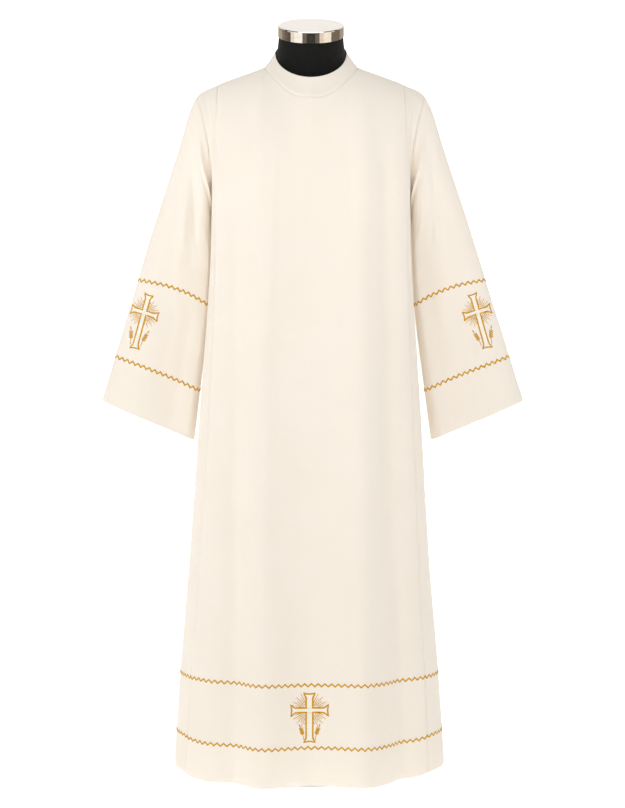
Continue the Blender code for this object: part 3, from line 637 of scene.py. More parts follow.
def mesh_piece(name, verts, faces, corners):
    """A smooth mesh with its flat cloth or thread measure, in metres, as its texture map."""
    mesh = bpy.data.meshes.new(name)
    mesh.from_pydata(np.asarray(verts).tolist(), [], faces)
    layer = mesh.uv_layers.new(name="flat")
    layer.data.foreach_set("uv", np.ascontiguousarray(corners, dtype=np.float32).ravel())
    mesh.polygons.foreach_set("use_smooth", np.ones(len(faces), dtype=bool))
    mesh.update()
    piece = bpy.data.objects.new(name, mesh)
    bpy.context.scene.collection.objects.link(piece)
    piece.location = (shift[0], shift[1], 0.0)
    return piece


class Surface:
    """A cloth surface that embroidery is laid on, measured along its own rows and columns."""

    def __init__(self, points, normals):
        self.points = points
        self.normals = normals
        self.across = arcs(points, 1)
        self.along = arcs(points, 0)
        self.rows = np.arange(points.shape[0])
        self.columns = np.arange(points.shape[1])

    def at(self, grid, row, column):
        """Value of a grid between its rows and columns."""
        r = np.clip(np.floor(row).astype(int), 0, len(self.rows) - 2)
        c = np.clip(np.floor(column).astype(int), 0, len(self.columns) - 2)
        u, v = row - r, column - c
        if grid.ndim == 3:
            u, v = u[:, None], v[:, None]
        low = lerp(grid[r, c], grid[r, c + 1], v)
        high = lerp(grid[r + 1, c], grid[r + 1, c + 1], v)
        return lerp(low, high, u)

    def step(self, row, column, right, up, up_sign=1):
        """Row and column reached from a place by going up its column and then along the row there."""
        c = int(np.clip(round(column), 0, len(self.columns) - 1))
        start = np.interp(row, self.rows, self.along[:, c])
        new_row = float(np.interp(start + up_sign * up, self.along[:, c], self.rows))
        r = int(round(new_row))
        start = np.interp(column, self.columns, self.across[r])
        return new_row, float(np.interp(start + right, self.across[r], self.columns))

    def nearest(self, x, z, facing):
        """Row and column of the grid point seen nearest a place, on the side that faces there."""
        away = np.hypot(self.points[:, :, 0] - x, self.points[:, :, 2] - z)
        away[self.normals[:, :, 1] * facing < 0.2] = np.inf
        return np.unravel_index(np.argmin(away), away.shape)


# Section of a stroke of thread, as across and up, in parts of its width and height, how much wider
# it may be at a corner, and the run that the texture gives to the last step of a closed stroke
STROKE_PROFILE = ((-0.5, -0.35), (-0.46, 0.30), (-0.22, 0.88), (0.22, 0.88), (0.46, 0.30), (0.5, -0.35))
CORNER_SPREAD = 1.5
CLOSING_RUN = 0.001


class Threads:
    """Strokes of thread gathered into one piece."""

    def __init__(self):
        self.verts = []
        self.faces = []
        self.corners = []

    def stroke(self, points, normals, widths, height, closed=False):
        """One satin stroke along points on the cloth, arched across and sunk into it at both sides."""
        points = np.asarray(points)
        widths = np.broadcast_to(widths, len(points))
        ahead = unit(np.roll(points, -1, axis=0) - points)
        if not closed:
            ahead[-1] = ahead[-2]
        behind = np.roll(ahead, 1, axis=0)
        if not closed:
            behind[0] = ahead[0]
        course = unit(ahead + behind)
        beside = unit(np.cross(normals, course))
        spread = np.clip(1 / np.sum(course * ahead, axis=1), 1, CORNER_SPREAD)
        run = distances(points)
        first = len(self.verts)
        count = len(STROKE_PROFILE)
        for point, normal, side, width in zip(points, normals, beside, widths * spread):
            for across, up in STROKE_PROFILE:
                self.verts.append(point + side * across * width + normal * up * height)
        for n in range(len(points) - (not closed)):
            m = (n + 1) % len(points)
            far = run[m] if m else run[n] + CLOSING_RUN
            for k in range(count):
                j = (k + 1) % count
                near_ring, next_ring = first + n * count, first + m * count
                self.faces.append([near_ring + k, near_ring + j, next_ring + j, next_ring + k])
                left, right = STROKE_PROFILE[k][0] * widths[n], STROKE_PROFILE[j][0] * widths[n]
                self.corners += [(left, run[n]), (right, run[n]), (right, far), (left, far)]
        if not closed:
            for ring, order in ((0, range(count - 1, -1, -1)), (len(points) - 1, range(count))):
                self.faces.append([first + ring * count + k for k in order])
                self.corners += [(STROKE_PROFILE[k][0] * widths[ring], run[ring]) for k in order]

    def piece(self, name):
        return mesh_piece(name, self.verts, self.faces, self.corners)


STITCH_UNEVEN = 0.10
STITCH_NOISE_STEP = 0.73
STITCH_STEPS = 3


def zigzag(threads, surface, rows, columns, period, closed=False):
    """A zigzag stitch along a line given by its rows and columns on a surface."""
    run = distances(surface.at(surface.points, rows, columns))
    turns = 2 * round(run[-1] / period)
    swings = []
    for n in range(turns + 1):
        uneven = 1 + STITCH_UNEVEN * noise.noise(Vector((n * STITCH_NOISE_STEP, run[-1], 0.5)))
        swings.append(STITCH_SWING * uneven * (1 if n % 2 else -1))
    steps = np.linspace(0, run[-1], STITCH_STEPS * turns + 1)
    swing = np.interp(steps, np.linspace(0, run[-1], turns + 1), swings)
    column = np.interp(steps, run, columns)
    row = np.interp(steps, run, rows)
    swung_rows = []
    for r, c, s in zip(row, column, swing):
        run_up = surface.along[:, int(round(c))]
        swung_rows.append(np.interp(np.interp(r, surface.rows, run_up) + s, run_up, surface.rows))
    swung_rows = np.array(swung_rows)
    points = surface.at(surface.points, swung_rows, column)
    normals = surface.at(surface.normals, swung_rows, column)
    if closed:
        points, normals = points[:-1], normals[:-1]
    threads.stroke(points, normals, STITCH_WIDTH, THREAD_HEIGHT, closed)


# Emblem: a cross with flared, hollowed ends, white satin in a gold edge, rays outside a thin
# broken ring, and an ear of wheat at each side of the stem. Lengths in metres, angles in degrees.
# A place on the cloth is its x and z.
Emblem = namedtuple("Emblem", "reach rise stem beam post end edge ray_scale ear_right ear_up ear_height")
HEM_EMBLEM = Emblem(0.037, 0.033, 0.063, 0.0045, 0.0065, 0.0105, 0.0034, 1.0, 0.0115, -0.058, 0.026)
SLEEVE_EMBLEM = Emblem(0.030, 0.037, 0.075, 0.0042, 0.0050, 0.0090, 0.0030, 0.85, 0.0105, -0.068, 0.030)
HEM_EMBLEM_PLACE = (-0.003, 0.156)
SLEEVE_EMBLEM_PLACES = ((-0.331, 0.924), (0.332, 0.924))
ARM_FLARE = 0.011
FLARE_CURVE = 1.5
FLARE_STEPS = 6
END_HOLLOW = 0.0016
END_SHARES = (-0.6, -0.2, 0.2, 0.6)
SATIN_LANES = 5
SATIN_STEPS = 16
SATIN_OVERLAP = 2.3
SATIN_HEIGHT = 0.0004
SATIN_MARGIN = 0.4
LOW_THREAD = THREAD_HEIGHT * 0.8
RING = 0.0145
RING_STROKE = 0.0015
RING_ANGLES = np.linspace(30, 62, 7)
RAY_COUNT = 7
RAY_ANGLES = (19, 71)
RAY_START = RING + 0.0022
RAY_LONG = 0.0370
RAY_SHORT = 0.0300
RAY_WIDTHS = np.array([1.0, 1.0, 0.9, 0.8, 0.5]) * 0.0015
RAY_HEIGHT = THREAD_HEIGHT * 0.7
STALK_STROKE = 0.0014
STALK_POINTS = 9
WHEAT_LEAN = 0.0075
WHEAT_CURVE = 1.6
EAR_LEAN = 18
GRAIN_TILT = 40
FIRST_GRAIN = 3
GRAIN_PAIRS = 4
GRAIN_LENGTH = 0.0062
GRAIN_WIDTHS = np.array([1.0, 2.4, 2.2, 0.5]) * 0.001
GRAIN_SHARES = (0.12, 0.4, 0.7, 1)
TIP_GRAIN_SHARES = (-0.3, 0.2, 0.6, 1)


def heading_of(angle):
    return np.array([math.cos(angle), math.sin(angle)])


class Motif:
    """An emblem in satin stitch on a surface, drawn about its centre in right and up measures."""

    def __init__(self, surface, place, up_sign=1, right_sign=1):
        self.surface = surface
        self.row, self.column = surface.nearest(*place, -1)
        self.up_sign = up_sign
        self.right_sign = right_sign
        middle = surface.points[self.row, self.column]
        along_row = unit((surface.points[self.row, self.column + 1] - middle) * right_sign)
        self.skew = float(along_row @ unit(surface.points[self.row + up_sign, self.column] - middle))
        self.gold = Threads()
        self.white = Threads()

    def lay(self, threads, marks, widths, height, closed=False):
        """Sew one stroke through marks given as right and up."""
        points, normals = [], []
        square = math.sqrt(1 - self.skew ** 2)
        for right, up in marks:
            up = up - right * self.skew / square
            right = right / square * self.right_sign
            row, column = self.surface.step(self.row, self.column, right, up, self.up_sign)
            place = np.array([row]), np.array([column])
            points.append(self.surface.at(self.surface.points, *place)[0])
            normals.append(self.surface.at(self.surface.normals, *place)[0])
        threads.stroke(points, unit(np.array(normals)), widths, height, closed)

    def cross(self, emblem):
        """A cross with flared, hollowed ends: white satin inside a gold edge."""
        outline = []
        for quarter, length in enumerate((emblem.reach, emblem.rise, emblem.reach, emblem.stem)):
            upright = quarter % 2 == 1
            half, start = (emblem.post, emblem.beam) if upright else (emblem.beam, emblem.post)
            heading = heading_of(quarter * math.pi / 2)
            beside = np.array([-heading[1], heading[0]])

            def half_widths(fars):
                flared = ease((fars - length + ARM_FLARE) / ARM_FLARE) ** FLARE_CURVE
                return half + (emblem.end - half) * flared

            fars = np.append(start, np.linspace(length - ARM_FLARE, length, FLARE_STEPS))
            sides = half_widths(fars)
            hollow = [(length - END_HOLLOW * (1 - s * s), s * emblem.end) for s in END_SHARES]
            edge = list(zip(fars, -sides)) + hollow + list(zip(fars[::-1], sides[::-1]))
            outline += [heading * far + beside * s for far, s in edge[1:]]
            middle = np.linspace(start if upright else 0, length - END_HOLLOW, SATIN_STEPS)
            spread = half_widths(middle) - emblem.edge * SATIN_MARGIN
            for lane in range(SATIN_LANES):
                s = (lane + 0.5) / SATIN_LANES * 2 - 1
                marks = [heading * far + beside * s * wide for far, wide in zip(middle, spread)]
                self.lay(self.white, marks, spread * SATIN_OVERLAP / SATIN_LANES, SATIN_HEIGHT)
        self.lay(self.gold, outline, emblem.edge, THREAD_HEIGHT, closed=True)

    def rays(self, scale):
        """Alternating long and short rays between the arms, outside a thin broken ring."""
        for base in range(0, 360, 90):
            ring = [heading_of(math.radians(base + angle)) * RING * scale for angle in RING_ANGLES]
            self.lay(self.gold, ring, RING_STROKE * scale, LOW_THREAD)
            for n in range(RAY_COUNT):
                heading = heading_of(math.radians(base + lerp(*RAY_ANGLES, n / (RAY_COUNT - 1))))
                fars = np.linspace(RAY_START, RAY_LONG if n % 2 else RAY_SHORT, len(RAY_WIDTHS))
                self.lay(self.gold, [heading * far * scale for far in fars], RAY_WIDTHS * scale, RAY_HEIGHT)

    def grain(self, foot, angle, shares):
        """One grain of an ear, swelling from its foot."""
        heading = heading_of(math.radians(angle)) * GRAIN_LENGTH
        self.lay(self.gold, [foot + heading * s for s in shares], GRAIN_WIDTHS, THREAD_HEIGHT)

    def wheat(self, side, emblem):
        """An ear of wheat beside the stem."""
        shares = np.linspace(0, 1, STALK_POINTS)
        rights = side * (emblem.ear_right + WHEAT_LEAN * shares ** WHEAT_CURVE)
        stalk = np.stack([rights, emblem.ear_up + emblem.ear_height * shares], axis=1)
        self.lay(self.gold, stalk, STALK_STROKE, LOW_THREAD)
        leaning = 90 - side * EAR_LEAN
        for foot in stalk[FIRST_GRAIN:FIRST_GRAIN + GRAIN_PAIRS]:
            for way in (-1, 1):
                self.grain(foot, leaning - way * GRAIN_TILT, GRAIN_SHARES)
        self.grain(stalk[-1], leaning, TIP_GRAIN_SHARES)

    def sew(self, emblem, name):
        self.cross(emblem)
        self.rays(emblem.ray_scale)
        for side in (-1, 1):
            self.wheat(side, emblem)
        embroider(self.gold, name + "_gold", gold)
        embroider(self.white, name + "_white", white)


SLEEVE_ALONGS = stops(((0, 0.004, 3), (0.004, 0.3, 48), (0.3, 0.995, 96), (0.995, 1, 1)))
SLEEVE_RING = stops(((0, 0.6, 8), (0.6, 9.4, 44), (9.4, 10, 8),
                     (10, 10.6, 8), (10.6, 19.4, 44), (19.4, 20, 8)))[:-1]


def sleeve_heights(folds, creases, across, alongs):
    """How far the folds and creases of one side of a sleeve lift or sink it."""
    total = np.zeros((len(alongs), len(across)))
    for fold in folds:
        run = np.clip((alongs - fold.start) / (fold.end - fold.start), 0, 1)[:, None]
        strength = np.sin(math.pi * run) if fold.end <= 1 else ease(run * SLEEVE_FOLD_RISE)
        middle = lerp(fold.across_start, fold.across_end, run)
        total += fold.height * strength * bump((across - middle) / fold.reach)
    measure = np.array([SLEEVE_HALF_WIDTH, SLEEVE_LENGTH])
    places = np.stack(np.broadcast_arrays(across[None, :], alongs[:, None]), axis=-1) * measure
    for crease in creases:
        start = np.array([crease.across_start, crease.along_start]) * measure
        end = np.array([crease.across_end, crease.along_end]) * measure
        length = np.linalg.norm(end - start)
        course = (end - start) / length
        run = (places - start) @ course / length
        off = (places - start) @ np.array([-course[1], course[0]])
        strength = np.sin(math.pi * np.clip(run, 0, 1)) ** CREASE_ENDS
        total += crease.height * strength * bump(off / (crease.reach * SLEEVE_CREASE_WIDTH))
    return total


def sleeve_grid(side, swing, front_folds, front_creases):
    """Points and normals of a sleeve, rows from armhole to cuff, each down the front and up the back."""
    half_ring = 10
    turns = np.abs(1 - SLEEVE_RING / half_ring)
    facings = np.where(SLEEVE_RING < half_ring, -1.0, 1.0)
    share = (1 - np.cos(math.pi * turns)) / 2
    armhole = np.array([armhole_point(turn, facing) for turn, facing in zip(turns, facings)])

    def ring_at(along):
        def value(column):
            return float(read(SLEEVE_EDGES, "along", along, column))

        inner, outer = (np.array([value(edge + axis) for axis in "xyz"]) for edge in ("inner_", "outer_"))
        points = lerp(inner, outer, share[:, None])
        depth = value("half_depth") * lerp(SLEEVE_INNER_DEPTH, 1.0, share)
        formed = ease(along / SLEEVE_FORMED)
        depth = depth * (1 + SLEEVE_LEAN * formed * (1 - 2 * share))
        inner_corner = lerp(*SLEEVE_INNER_CORNERS[side], along)
        flat_section = corner(share / inner_corner) * corner((1 - share) / SLEEVE_OUTER_CORNER)
        points[:, 1] += facings * depth * lerp(np.sin(math.pi * turns), flat_section, formed)
        return points

    hold = armhole - ring_at(0.0)
    rings = []
    for along in SLEEVE_ALONGS:
        held = hold * (1 - along) ** ARMHOLE_HOLD
        rings.append(ring_at(along) + held + (swing * along ** SWING_CURVE, 0, 0))
    points = np.array(rings)
    points[:, :, 0] *= side
    normals = grid_normals(points, -side, around=True)
    across = -np.cos(math.pi * turns)
    lift = sleeve_heights(front_folds, front_creases, across, SLEEVE_ALONGS) * (facings < 0)
    lift += sleeve_heights(SLEEVE_BACK_FOLDS, SLEEVE_BACK_CREASES, across, SLEEVE_ALONGS) * (facings > 0)
    x, y, z = np.moveaxis(points, 2, 0)
    # The ripples are read from another place, so that a sleeve's differ from the body's.
    lift = lift * np.sin(math.pi * turns) + ripple_heights(x, y + SLEEVE_RIPPLE_SHIFT, z)
    points = points + normals * (lift * ease(SLEEVE_ALONGS / ARMHOLE_FADE)[:, None])[:, :, None]
    return points, grid_normals(points, -side, around=True), share


# Place of the dress form's base in the part, which everything here is measured from
base_low, base_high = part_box("base")
shift = (np.array(base_low) + np.array(base_high))[:2] / 2


def linear(hex_colour):
    """An sRGB hex colour as the linear colour that shaders take."""
    values = [int(hex_colour[n:n + 2], 16) / 255 for n in (0, 2, 4)]
    return (*[v / 12.92 if v <= 0.04045 else ((v + 0.055) / 1.055) ** 2.4 for v in values], 1.0)


def fill(tree, made, inputs):
    """Fill a node's inputs with values or with other nodes' outputs."""
    for socket, value in inputs.items():
        if isinstance(value, bpy.types.NodeSocket):
            tree.links.new(value, made.inputs[socket])
        else:
            made.inputs[socket].default_value = value


def node(tree, kind, inputs=None, **settings):
    """Add a node with its settings and inputs."""
    made = tree.nodes.new(kind)
    for name, value in settings.items():
        setattr(made, name, value)
    fill(tree, made, inputs or {})
    return made


def new_material(name):
    """An empty node material with its shader wired to its output."""
    material = bpy.data.materials.new(name)
    material.use_nodes = True
    tree = material.node_tree
    tree.nodes.clear()
    shader = node(tree, "ShaderNodeBsdfPrincipled")
    node(tree, "ShaderNodeOutputMaterial", {"Surface": shader.outputs["BSDF"]})
    return material, tree, shader


def place_on(tree, kind, stretch=None):
    """Where a point lies: in flat cloth or thread as UV, or in the object's own space as Object."""
    place = node(tree, "ShaderNodeTexCoord").outputs[kind]
    if stretch:
        place = node(tree, "ShaderNodeMapping", {"Vector": place, "Scale": stretch}).outputs["Vector"]
    return place


def bands(tree, place, direction, scale, distortion):
    """Parallel threads, loops or stitches. Their distance apart is 0.314 m divided by the scale."""
    inputs = {"Vector": place, "Scale": scale, "Distortion": distortion, "Detail": 1.0}
    made = node(tree, "ShaderNodeTexWave", inputs, wave_type="BANDS", bands_direction=direction)
    return made.outputs["Fac"]


def speckle(tree, place, scale, detail):
    inputs = {"Vector": place, "Scale": scale, "Detail": detail}
    return node(tree, "ShaderNodeTexNoise", inputs).outputs["Fac"]


def combine(tree, operation, first, second):
    return node(tree, "ShaderNodeMath", {0: first, 1: second}, operation=operation).outputs["Value"]


def rescale(tree, value, **limits):
    """A value spread between new limits, such as From_Min or To_Max."""
    inputs = {name.replace("_", " "): limit for name, limit in limits.items()}
    return node(tree, "ShaderNodeMapRange", {"Value": value, **inputs}).outputs["Result"]


def blend(tree, share, dark, light):
    """A colour between two sRGB hex colours."""
    inputs = {"Factor": share, 6: linear(dark), 7: linear(light)}
    return node(tree, "ShaderNodeMix", inputs, data_type="RGBA").outputs[2]


def relief(tree, height, strength, distance):
    inputs = {"Height": height, "Strength": strength, "Distance": distance}
    return node(tree, "ShaderNodeBump", inputs).outputs["Normal"]


def woven_polyester_cotton():
    """Plain-woven polyester and cotton: matt, a soft bloom at grazing light, fine uneven threads."""
    material, tree, shader = new_material("woven_polyester_cotton")
    flat = place_on(tree, "UV")
    # Real threads lie 0.35 mm apart. They are drawn 2.1 mm apart, so that they show.
    weave = combine(tree, "MULTIPLY", *(bands(tree, flat, way, 150.0, 1.2) for way in "XY"))
    slubs = speckle(tree, place_on(tree, "UV", stretch=(900.0, 60.0, 1.0)), 1.0, 2.0)
    tone = combine(tree, "ADD", slubs, speckle(tree, flat, 9.0, 1.0))
    fill(tree, shader, {
        "Base Color": blend(tree, rescale(tree, tone, From_Min=0.7, From_Max=1.3), "F5ECDF", "F7EEE2"),
        "Roughness": rescale(tree, slubs, To_Min=0.78, To_Max=0.92),
        "Normal": relief(tree, combine(tree, "ADD", weave, slubs), 0.22, 0.0004),
        "Specular IOR Level": 0.25,
        "Sheen Weight": 0.12,
        "Sheen Roughness": 0.5,
    })
    return material


def embroidery_thread(name, dark, light, roughness):
    """Twisted rayon thread laid in satin stitch: fine ridges across each stroke, each ridge's crest with a
    painted sheen.
    """
    material, tree, shader = new_material(name)
    flat = place_on(tree, "UV")
    # Real stitches lie 0.4 mm apart. They are drawn 1.2 mm apart, so that they show.
    stitches = bands(tree, flat, "Y", 260.0, 0.8)
    # Painted sheen: the colour is lighter on each stitch's raised crest, by an amount that varies at random
    # along the thread.
    share = combine(tree, "MULTIPLY", stitches, speckle(tree, flat, 260.0, 2.0))
    fill(tree, shader, {
        "Base Color": blend(tree, rescale(tree, share, From_Max=0.6), dark, light),
        "Roughness": roughness,
        "Normal": relief(tree, stitches, 0.35, 0.0003),
        "Specular IOR Level": 0.1,
    })
    return material


def black_cotton_jersey():
    """Fine black cotton jersey stretched over the form: matt, with close columns of knit loops."""
    material, tree, shader = new_material("black_cotton_jersey")
    place = place_on(tree, "Object")
    # Real loops lie 0.8 mm apart. They are drawn 2 mm apart, so that they show.
    knit = combine(tree, "MULTIPLY", *(bands(tree, place, way, 157.0, 1.0) for way in "XZ"))
    fill(tree, shader, {
        "Base Color": blend(tree, speckle(tree, place, 90.0, 4.0), "060605", "0E0E0C"),
        "Roughness": 0.85,
        "Normal": relief(tree, knit, 0.3, 0.0004),
        "Specular IOR Level": 0.25,
        "Sheen Weight": 0.05,
    })
    return material


def chrome_plated_steel():
    """Chrome-plated pressed steel: a clear mirror with faint wiping marks."""
    material, tree, shader = new_material("chrome_plated_steel")
    marks = speckle(tree, place_on(tree, "Object", stretch=(40.0, 40.0, 220.0)), 1.0, 4.0)
    fill(tree, shader, {
        "Base Color": blend(tree, marks, "D3CBC2", "E0D9D0"),
        "Roughness": rescale(tree, marks, To_Min=0.05, To_Max=0.13),
        "Metallic": 1.0,
    })
    return material


def powder_coated_steel():
    """White powder-coated steel: satin, with the fine pebbling of the baked powder."""
    material, tree, shader = new_material("powder_coated_steel")
    place = place_on(tree, "Object")
    wear = speckle(tree, place, 25.0, 5.0)
    fill(tree, shader, {
        "Base Color": blend(tree, wear, "DAD9D6", "E6E5E2"),
        "Roughness": rescale(tree, wear, To_Min=0.40, To_Max=0.60),
        # The real pebbling is 0.5 mm across, drawn 2 mm across so that it shows.
        "Normal": relief(tree, speckle(tree, place, 500.0, 2.0), 0.15, 0.0003),
    })
    return material


cloth = woven_polyester_cotton()
gold = embroidery_thread("gold_rayon_thread", "B68000", "F4BA00", 0.70)
white = embroidery_thread("white_rayon_thread", "F6EFE0", "FEF9EE", 0.50)

# Each panel's cut: the widest and longest that its flat cloth measures, and the area of the cut
Cut = namedtuple("Cut", "width length area")


def dress(name, rests_on, *grid, **options):
    """Make a cloth piece in its finish, and let it stand for its solid."""
    piece = cloth_piece(name + "_cloth", *grid, **options)
    piece.data.materials.append(cloth)
    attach(piece, "root")
    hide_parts(name)


def embroider(threads, name, material):
    piece = threads.piece(name)
    piece.data.materials.append(material)
    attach(piece, "root")


front = Sheet(-1, FRONT_FOLDS, FRONT_CREASES)
back = Sheet(1, BACK_FOLDS, BACK_CREASES)
share_edges(front, back)

# Body: the centre panels lie over the laps of the side panels
neck_edges = []
for sheet, centre in ((front, "front"), (back, "back")):
    hung = {"flip": sheet.facing > 0, "rolled": ("foot",)}
    columns = np.abs(sheet.columns)
    middle = columns <= PRINCESS_COLUMN
    normals = sheet.normals[:, middle]
    points = (sheet.points + sheet.normals * sheet.lap_lift())[:, middle]
    neck_edges.append(points[-1, columns[middle] <= NECK_COLUMN])
    points = round_edges(points, normals, ("top",))
    points = round_edges(points, normals, ("left", "right"), LAP_DIP, LAP_REACH)
    dress(centre, ["torso"], points, normals, WALL, **hung)
    for side, name, edge in ((-1, "_left", "left"), (1, "_right", "right")):
        part = sheet.columns * side >= LAP_COLUMN
        under = ease((PRINCESS_COLUMN + LAP_SINK_FADE - columns[part]) / LAP_SINK_FADE)
        sink = np.interp(ROWS, *zip(*LAP_SINKS))[:, None] * under
        normals = sheet.normals[:, part]
        points = round_edges(sheet.points[:, part] - normals * sink[:, :, None], normals, ("top", edge))
        dress("side_" + centre + name, ["torso", centre + "_cloth"], points, normals, WALL, **hung)

# Collar band, doubled and stiffened, with a folded top edge
foot = np.concatenate([neck_edges[0], neck_edges[1][-2:0:-1]])
turn = 2 * math.pi * np.arange(len(foot)) / len(foot) - math.pi / 2
to_front = np.cos(turn)
in_front = to_front > 0
top = np.stack([
    COLLAR_HALF_WIDTH * np.sin(turn),
    -to_front * np.where(in_front, COLLAR_FRONT, COLLAR_BACK),
    COLLAR_SIDE_Z - to_front * np.where(in_front, COLLAR_FRONT_DROP, COLLAR_BACK_RISE),
], axis=-1)
inward = unit(top * (1, 1, 0))
shares = stops(((0, 0.06, 3), (0.06, 0.94, 12), (0.94, 1, 3)))
bows = COLLAR_BOW * np.sin(math.pi * shares)
band = np.array([lerp(foot, top, share) - inward * bow for share, bow in zip(shares, bows)])
normals = grid_normals(band, -1, around=True)
band = round_edges(band, normals, ("foot",))
dress("collar", ["front_cloth", "back_cloth"], band, normals, COLLAR_WALL, around=True, rolled=("top",))

# Sleeves, each with a closed surface for its embroidery
sleeves = []
for side, end, swing, folds, creases in (
    (-1, "left", LEFT_SWING, LEFT_FRONT_FOLDS, LEFT_SLEEVE_CREASES),
    (1, "right", RIGHT_SWING, RIGHT_FRONT_FOLDS, RIGHT_SLEEVE_CREASES),
):
    points, normals, share = sleeve_grid(side, swing, folds, creases)
    sunk = round_edges(points, normals, ("foot",), ARMHOLE_DIP)
    dress("sleeve_" + end, ["side_front_" + end + "_cloth"], sunk, normals, WALL,
          around=True, flip=side < 0, rolled=("top",))
    ring = Surface(*(np.concatenate([grid, grid[:, :1]], axis=1) for grid in (points, normals)))
    sleeves.append(("sleeve_" + end, ring))
ring_share = np.append(share, share[0])

# Zigzag stitching round the skirt and both sleeves
surfaces = [sheet.surface() for sheet in (front, back)]
threads = Threads()
for z in SKIRT_STITCH_ZS:
    for sheet, surface in zip((front, back), surfaces):
        columns = np.linspace(0, len(sheet.columns) - 1, SKIRT_LINE_POINTS)
        zigzag(threads, surface, np.full(SKIRT_LINE_POINTS, sheet.row_at(z)), columns, STITCH_PERIOD)
embroider(threads, "skirt_zigzag", gold)
for name, surface in sleeves:
    threads = Threads()
    for inner_along, outer_along in SLEEVE_STITCH_ALONGS:
        columns = np.linspace(0, len(ring_share) - 1, SLEEVE_LINE_POINTS)
        along = lerp(inner_along, outer_along, np.interp(columns, surface.columns, ring_share))
        rows = np.interp(along, SLEEVE_ALONGS, surface.rows)
        zigzag(threads, surface, rows, columns, SLEEVE_STITCH_PERIOD, closed=True)
    embroider(threads, name + "_zigzag", gold)

# Emblems above the hem and on both sleeves
Motif(surfaces[0], HEM_EMBLEM_PLACE).sew(HEM_EMBLEM, "hem_emblem")
for (name, surface), place, right_sign in zip(sleeves, SLEEVE_EMBLEM_PLACES, (1, -1)):
    Motif(surface, place, up_sign=-1, right_sign=right_sign).sew(SLEEVE_EMBLEM, name + "_emblem")

# Finishes of the dress form
for name, material in (("torso", black_cotton_jersey()), ("neck_cap", chrome_plated_steel()),
                       ("pole", powder_coated_steel()), ("base", powder_coated_steel())):
    for slot in frame["nodes"][name].material_slots:
        slot.material = material

# Studio: a pale floor in pale air, a reflector behind, soft boxes, and cards that show only in
# reflections. Each card stands on a ring round the form, between two bearings from the front.
STUDIO_RADIUS = 18.0
DISC_SIDES = 72
FLOOR_GLOW = 0.60
FAR_FLOOR_GLOW = 0.95
NEAR_FLOOR = 1.4
FAR_FLOOR = 4.5
AIR_GLOW = 1.0
# The floor light is a glowing round of floor: painted light in place of the alb's shadow.
FLOOR_LIGHT_RADIUS = 0.31
FLOOR_LIGHT_HEIGHT = 0.0003
FLOOR_LIGHT_GLOW = 0.78
AIR_STEP = 9
REFLECTOR_Y = 4.0
REFLECTOR_BEND = 3.0
REFLECTOR_BEND_ANGLES = np.linspace(0.05, math.pi / 2, 13)
REFLECTOR_TOP = 14.0
REFLECTOR_HALF_WIDTH = 14.0
REFLECTOR_GLOW = 0.60
CARD_RING = 2.2
CARD_FOOT = 0.05
CARD_TOP = 2.3
CARD_STEPS = 6
CARD_GLOW = 1.3
WORLD_LIGHT = 0.12
MirrorCard = namedtuple("MirrorCard", "start end colour")
MIRROR_CARDS = (
    MirrorCard(-180, -124, "A89C8E"),
    MirrorCard(-124, -100, "7A6F62"),
    MirrorCard(-100, -81, "4B433A"),
    MirrorCard(-81, -70, "E8DCCB"),
    MirrorCard(-70, -32, "FFFEFA"),
    MirrorCard(-32, -17, "62584C"),
    MirrorCard(-17, 20, "050403"),
    MirrorCard(20, 29, "5E5448"),
    MirrorCard(29, 44, "E2D6C8"),
    MirrorCard(44, 81, "FAF2E7"),
    MirrorCard(81, 122, "6D6357"),
    MirrorCard(122, 180, "A2978A"),
)


def stage_piece(name, verts, faces, glow, colour="FFFFFF", unseen_by=(), smooth=True, **paint):
    """A piece of the studio that glows a little, left out by the kinds of ray that it is unseen by."""
    material, tree, shader = new_material(name + "_paint")
    paint = {socket.replace("_", " "): value for socket, value in paint.items()}
    fill(tree, shader, {"Emission Color": linear(colour), "Emission Strength": glow, **paint})
    mesh = bpy.data.meshes.new(name)
    mesh.from_pydata(verts, [], faces)
    mesh.polygons.foreach_set("use_smooth", np.full(len(faces), smooth))
    mesh.materials.append(material)
    made = bpy.data.objects.new(name, mesh)
    for ray in unseen_by:
        setattr(made, "visible_" + ray, False)
    bpy.context.scene.collection.objects.link(made)
    return tree, shader


PALE_PAINT = {"Base_Color": linear("F7F7F6"), "Roughness": 0.9}


def mirror_card(card):
    bearings = np.radians(np.linspace(card.start, card.end, CARD_STEPS + 1))
    verts = [(CARD_RING * math.sin(b), -CARD_RING * math.cos(b), z)
             for b in bearings for z in (CARD_FOOT, CARD_TOP)]
    faces = [(2 * n, 2 * n + 2, 2 * n + 3, 2 * n + 1) for n in range(CARD_STEPS)]
    stage_piece("card_%d" % card.start, verts, faces, CARD_GLOW, card.colour, smooth=False,
                unseen_by=("camera", "diffuse", "shadow", "transmission"), Base_Color=linear("000000"))


def disc(radius, z, middle=(0.0, 0.0)):
    bearings = 2 * math.pi * np.arange(DISC_SIDES) / DISC_SIDES
    return [(radius * math.cos(b) + middle[0], radius * math.sin(b) + middle[1], z) for b in bearings]


def studio_floor():
    """A round floor, brighter far out where it meets the pale air."""
    ring = disc(STUDIO_RADIUS, 0.0)
    tree, shader = stage_piece("floor", ring, [range(DISC_SIDES)], FLOOR_GLOW, **PALE_PAINT)
    away = node(tree, "ShaderNodeVectorMath", {"Vector": place_on(tree, "Object")}, operation="LENGTH")
    glow = rescale(tree, away.outputs["Value"], From_Min=NEAR_FLOOR, From_Max=FAR_FLOOR,
                   To_Min=FLOOR_GLOW, To_Max=FAR_FLOOR_GLOW)
    fill(tree, shader, {"Emission Strength": glow})


